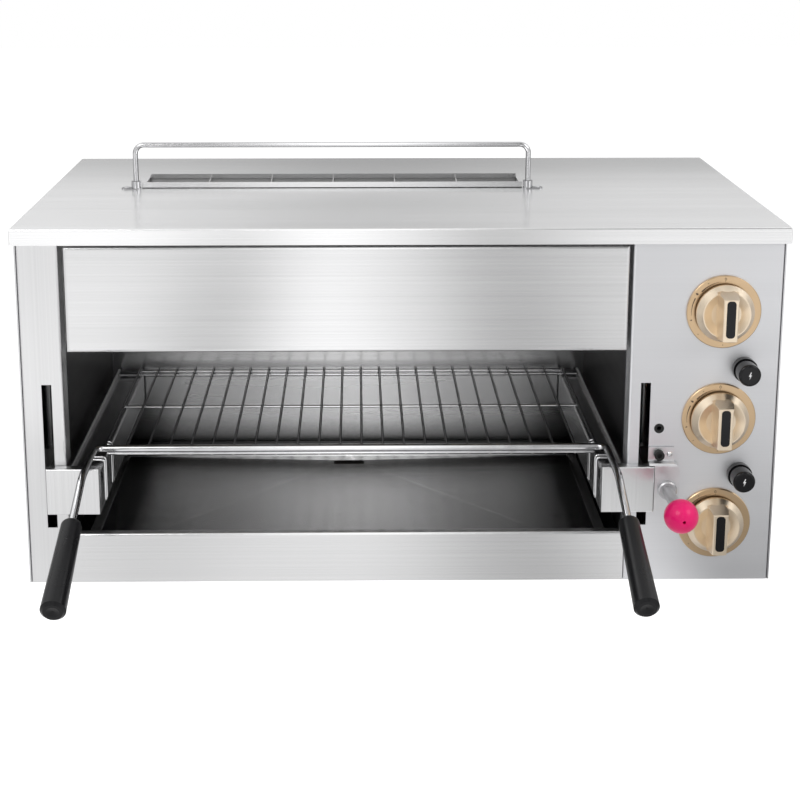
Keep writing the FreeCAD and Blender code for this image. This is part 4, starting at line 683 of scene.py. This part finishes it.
def made_by(tree, name, values):
    """Runs a node tree with named values and returns its result as a plain mesh."""
    holder = bpy.data.objects.new(name, bpy.data.meshes.new(name + "_seed"))
    bpy.context.collection.objects.link(holder)
    modifier = holder.modifiers.new("make", "NODES")
    modifier.node_group = tree
    for item in tree.interface.items_tree:
        if item.in_out == "INPUT" and item.name in values:
            modifier[item.identifier] = values[item.name]
    graph = bpy.context.evaluated_depsgraph_get()
    mesh = bpy.data.meshes.new_from_object(holder.evaluated_get(graph))
    mesh.name = name
    bpy.data.objects.remove(holder)
    return mesh


def add_beads():
    """Weld beads where the long wires of the rack cross the wires under them."""
    tree = bead_tree()
    step = 2 * WIRE_HALF_SPAN / (WIRE_COUNT - 1)
    rows = (("front", FRONT_WIRE_BACK, FRONT_WIRE_LEVEL, 1),
            ("cross", CROSS_WIRE_BACK, WIRE_LEVEL - BEAD_SINK, 0),
            ("rear", REAR_WIRE_BACK, WIRE_LEVEL - BEAD_SINK, 0))
    for name, back, level, skipped in rows:
        start = (RACK_ACROSS - WIRE_HALF_SPAN + skipped * step, back, level)
        mesh = made_by(tree, "weld_beads_" + name, {
            "Count": WIRE_COUNT - 2 * skipped, "Start": start, "Step": (step, 0.0, 0.0),
            "Radii": BEAD_RADII[name], "Finish": FINISHES["weld_chrome"]})
        new_piece("weld_beads_" + name, mesh, "weld_chrome", "rack")


def rod_mesh(name, back, level, radius):
    """A closed straight bead across the flue's lip."""
    bead = bmesh.new()
    turns = [2 * math.pi * step / TRIM_SIDES for step in range(TRIM_SIDES)]
    rings = [[bead.verts.new((x, back + radius * math.cos(turn), level + radius * math.sin(turn)))
              for turn in turns] for x in (LIP_LEFT, LIP_RIGHT)]
    for index in range(TRIM_SIDES):
        after = (index + 1) % TRIM_SIDES
        bead.faces.new((rings[0][index], rings[0][after], rings[1][after], rings[1][index]))
    for ring in rings:
        bead.faces.new(ring)
    bmesh.ops.recalc_face_normals(bead, faces=bead.faces)
    mesh = bpy.data.meshes.new(name)
    bead.to_mesh(mesh)
    bead.free()
    mesh.shade_smooth()
    return mesh


def add_flue_trim():
    """A bright hem along the top of the flue's front lip, and at its foot a dark bead that stands for the
    shadow line there: painted shade.
    """
    lip_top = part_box("top_cap")[1][2]
    hem = rod_mesh("flue_hem", LIP_FRONT + HEM_RADIUS, lip_top - HEM_RADIUS, HEM_RADIUS)
    new_piece("flue_hem", hem, "weld_chrome", "casing")
    # A dark bead that stands for the shadow line at the lip's foot: painted shade
    lip_shade_bead = rod_mesh("flue_lip_shade", LIP_FRONT, lip_top - LIP_RISE, SHADE_BEAD_RADIUS)
    new_piece("flue_lip_shade", lip_shade_bead, "dull_black", "casing")


def wire_tree():
    """Node tree: a flat cloth of crossed wires over an oblong."""
    tree, given, result = new_tree("wire_cloth", {"Length": "Float", "Width": "Float", "Wire": "Float",
                                                  "Long Count": "Int", "Short Count": "Int",
                                                  "Centre": "Vector", "Finish": "Material"})
    both = tree.nodes.new("GeometryNodeJoinGeometry")
    link = tree.links.new
    ways = (("X", "Y", "Length", "Width", "Long Count"), ("Y", "X", "Width", "Length", "Short Count"))
    for side, ahead, spread_over, wire_length, count in ways:
        grid = tree.nodes.new("GeometryNodeMeshGrid")
        bar = tree.nodes.new("GeometryNodeMeshCube")
        size = tree.nodes.new("ShaderNodeCombineXYZ")
        copies = tree.nodes.new("GeometryNodeInstanceOnPoints")
        link(given.outputs["Wire"], size.inputs[side])
        link(given.outputs[wire_length], size.inputs[ahead])
        link(given.outputs["Wire"], size.inputs["Z"])
        link(size.outputs["Vector"], bar.inputs["Size"])
        link(given.outputs[spread_over], grid.inputs["Size " + side])
        grid.inputs["Size " + ahead].default_value = 0.0
        link(given.outputs[count], grid.inputs["Vertices " + side])
        grid.inputs["Vertices " + ahead].default_value = 2
        merge = tree.nodes.new("GeometryNodeMergeByDistance")
        link(grid.outputs["Mesh"], merge.inputs["Geometry"])
        link(merge.outputs["Geometry"], copies.inputs["Points"])
        link(bar.outputs["Mesh"], copies.inputs["Instance"])
        link(copies.outputs["Instances"], both.inputs["Geometry"])
    place = tree.nodes.new("GeometryNodeTransform")
    real = tree.nodes.new("GeometryNodeRealizeInstances")
    paint = tree.nodes.new("GeometryNodeSetMaterial")
    link(both.outputs["Geometry"], real.inputs["Geometry"])
    link(real.outputs["Geometry"], place.inputs["Geometry"])
    link(given.outputs["Centre"], place.inputs["Translation"])
    link(place.outputs["Geometry"], paint.inputs["Geometry"])
    link(given.outputs["Finish"], paint.inputs["Material"])
    link(paint.outputs["Geometry"], result.inputs["Geometry"])
    return tree


def add_screens():
    """Wire cloth in each frame under the burners."""
    tree = wire_tree()
    low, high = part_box("burner_screens")
    width = high[0] - low[0] - (BURNER_COUNT - 1) * BURNER_PITCH - 2 * SCREEN_FRAME
    for index in range(BURNER_COUNT):
        middle = (low[0] + high[0]) / 2 + (index - (BURNER_COUNT - 1) / 2) * BURNER_PITCH
        name = "wire_cloth_%d" % (index + 1)
        mesh = made_by(tree, name, {
            "Length": width, "Width": high[1] - low[1] - 2 * SCREEN_FRAME, "Wire": CLOTH_WIRE,
            "Long Count": CLOTH_LONG, "Short Count": CLOTH_SHORT,
            "Centre": (middle, (low[1] + high[1]) / 2, high[2] - CLOTH_WIRE),
            "Finish": FINISHES["screen_steel"]})
        new_piece(name, mesh, "screen_steel", "casing")


# Stage


def shown_rays(tree):
    """1 for camera, glossy and transmission rays, so metal shows the same background as the picture."""
    path = tree.nodes.new("ShaderNodeLightPath")
    value = path.outputs["Is Camera Ray"]
    for name in ("Is Glossy Ray", "Is Transmission Ray"):
        value = calculated(tree, "MAXIMUM", value, path.outputs[name])
    return value


def floor_glow(tree):
    """The floor as metal shows it: soft bands, other ones close to the front, and a pool before the opening."""
    place = split_place(tree, "Object")
    far = banded(tree, place["X"], FLOOR_BANDS)
    near = banded(tree, place["X"], NEAR_BANDS)
    nearness = banded(tree, place["Y"], NEARNESS)
    across = banded(tree, place["X"], POOL_ACROSS)
    back = banded(tree, place["Y"], POOL_BACK)
    pool = blended(tree, "MULTIPLY", 1.0, across, back)
    bands = blended(tree, "ADD", POOL_LEVEL, blended(tree, "MIX", nearness, far, near), pool)
    behind = banded(tree, place["Y"], BEHIND)
    return blended(tree, "MULTIPLY", 1.0, bands, behind)


def add_floor():
    """A plain pale floor that shows white to the camera and has soft bands in reflections."""
    mesh = bpy.data.meshes.new("studio_floor")
    corners = [(-1, -1), (1, -1), (1, 1), (-1, 1)]
    mesh.from_pydata([(x * FLOOR_REACH, y * FLOOR_REACH, -FLOOR_GAP) for x, y in corners], [], [(0, 1, 2, 3)])
    floor = bpy.data.objects.new("studio_floor", mesh)
    bpy.context.collection.objects.link(floor)
    material, tree, shader = new_finish("floor_white", FLOOR_COLOUR, 0.0, 0.9)
    shader.inputs["Specular IOR Level"].default_value = 0.0
    shader.inputs["Emission Color"].default_value = (1, 1, 1, 1)
    path = tree.nodes.new("ShaderNodeLightPath")
    lift = calculated(tree, "MULTIPLY", path.outputs["Is Camera Ray"], FLOOR_LIFT)
    tree.links.new(lift, shader.inputs["Emission Strength"])
    glow = tree.nodes.new("ShaderNodeEmission")
    tree.links.new(floor_glow(tree), glow.inputs["Color"])
    mix = tree.nodes.new("ShaderNodeMixShader")
    tree.links.new(path.outputs["Is Glossy Ray"], mix.inputs["Fac"])
    tree.links.new(shader.outputs["BSDF"], mix.inputs[1])
    tree.links.new(glow.outputs["Emission"], mix.inputs[2])
    output = tree.nodes["Material Output"]
    tree.links.new(mix.outputs["Shader"], output.inputs["Surface"])
    mesh.materials.append(material)


def add_world():
    """White surroundings where they are seen, a soft level as light, and a greyer horizon in reflections."""
    world = bpy.data.worlds.new("studio")
    bpy.context.scene.world = world
    world.use_nodes = True
    tree = world.node_tree
    background = tree.nodes["Background"]
    path = tree.nodes.new("ShaderNodeLightPath")
    level = tree.nodes.new("ShaderNodeMapRange")
    level.inputs["To Min"].default_value = WORLD_LIGHT
    level.inputs["To Max"].default_value = 1.0
    tree.links.new(shown_rays(tree), level.inputs["Value"])
    tree.links.new(level.outputs["Result"], background.inputs["Strength"])
    place = split_place(tree, "Generated")
    up = banded(tree, place["Z"], SKY_BANDS)
    across = banded(tree, place["X"], SKY_ACROSS)
    behind = blended(tree, "MULTIPLY", 1.0, up, across)
    before = banded(tree, place["X"], FRONT_ACROSS)
    tones = blended(tree, "MIX", banded(tree, place["Y"], SKY_TURN), before, behind)
    shown = blended(tree, "MIX", path.outputs["Is Glossy Ray"], (1, 1, 1, 1), tones)
    tree.links.new(shown, background.inputs["Color"])


def add_lamp(name, place, aim, size, power):
    """A soft lamp at a place, turned towards a point."""
    light = bpy.data.lights.new(name, "AREA")
    light.shape = "RECTANGLE"
    light.size, light.size_y = size
    light.energy = power
    lamp = bpy.data.objects.new(name, light)
    lamp.location = place
    lamp.rotation_euler = (Vector(aim) - Vector(place)).to_track_quat("-Z", "Y").to_euler()
    bpy.context.collection.objects.link(lamp)


def add_camera():
    """The photograph's viewpoint: from the front, a little left of the middle, looking down."""
    data = bpy.data.cameras.new("camera")
    data.lens = CAMERA_LENS
    data.shift_x, data.shift_y = CAMERA_SHIFT
    data.clip_start, data.clip_end = CAMERA_CLIP
    camera = bpy.data.objects.new("camera", data)
    camera.location = CAMERA_PLACE
    camera.rotation_euler = (math.radians(90 - CAMERA_PITCH), 0, math.radians(-CAMERA_YAW))
    bpy.context.collection.objects.link(camera)
    bpy.context.scene.camera = camera


dress_solids()
add_dial_marks()
add_spark_signs()
add_beads()
add_screens()
add_flue_trim()
add_floor()
add_world()
for lamp in LAMPS:
    add_lamp(*lamp)
add_camera()
bpy.context.scene.view_settings.view_transform = "Standard"
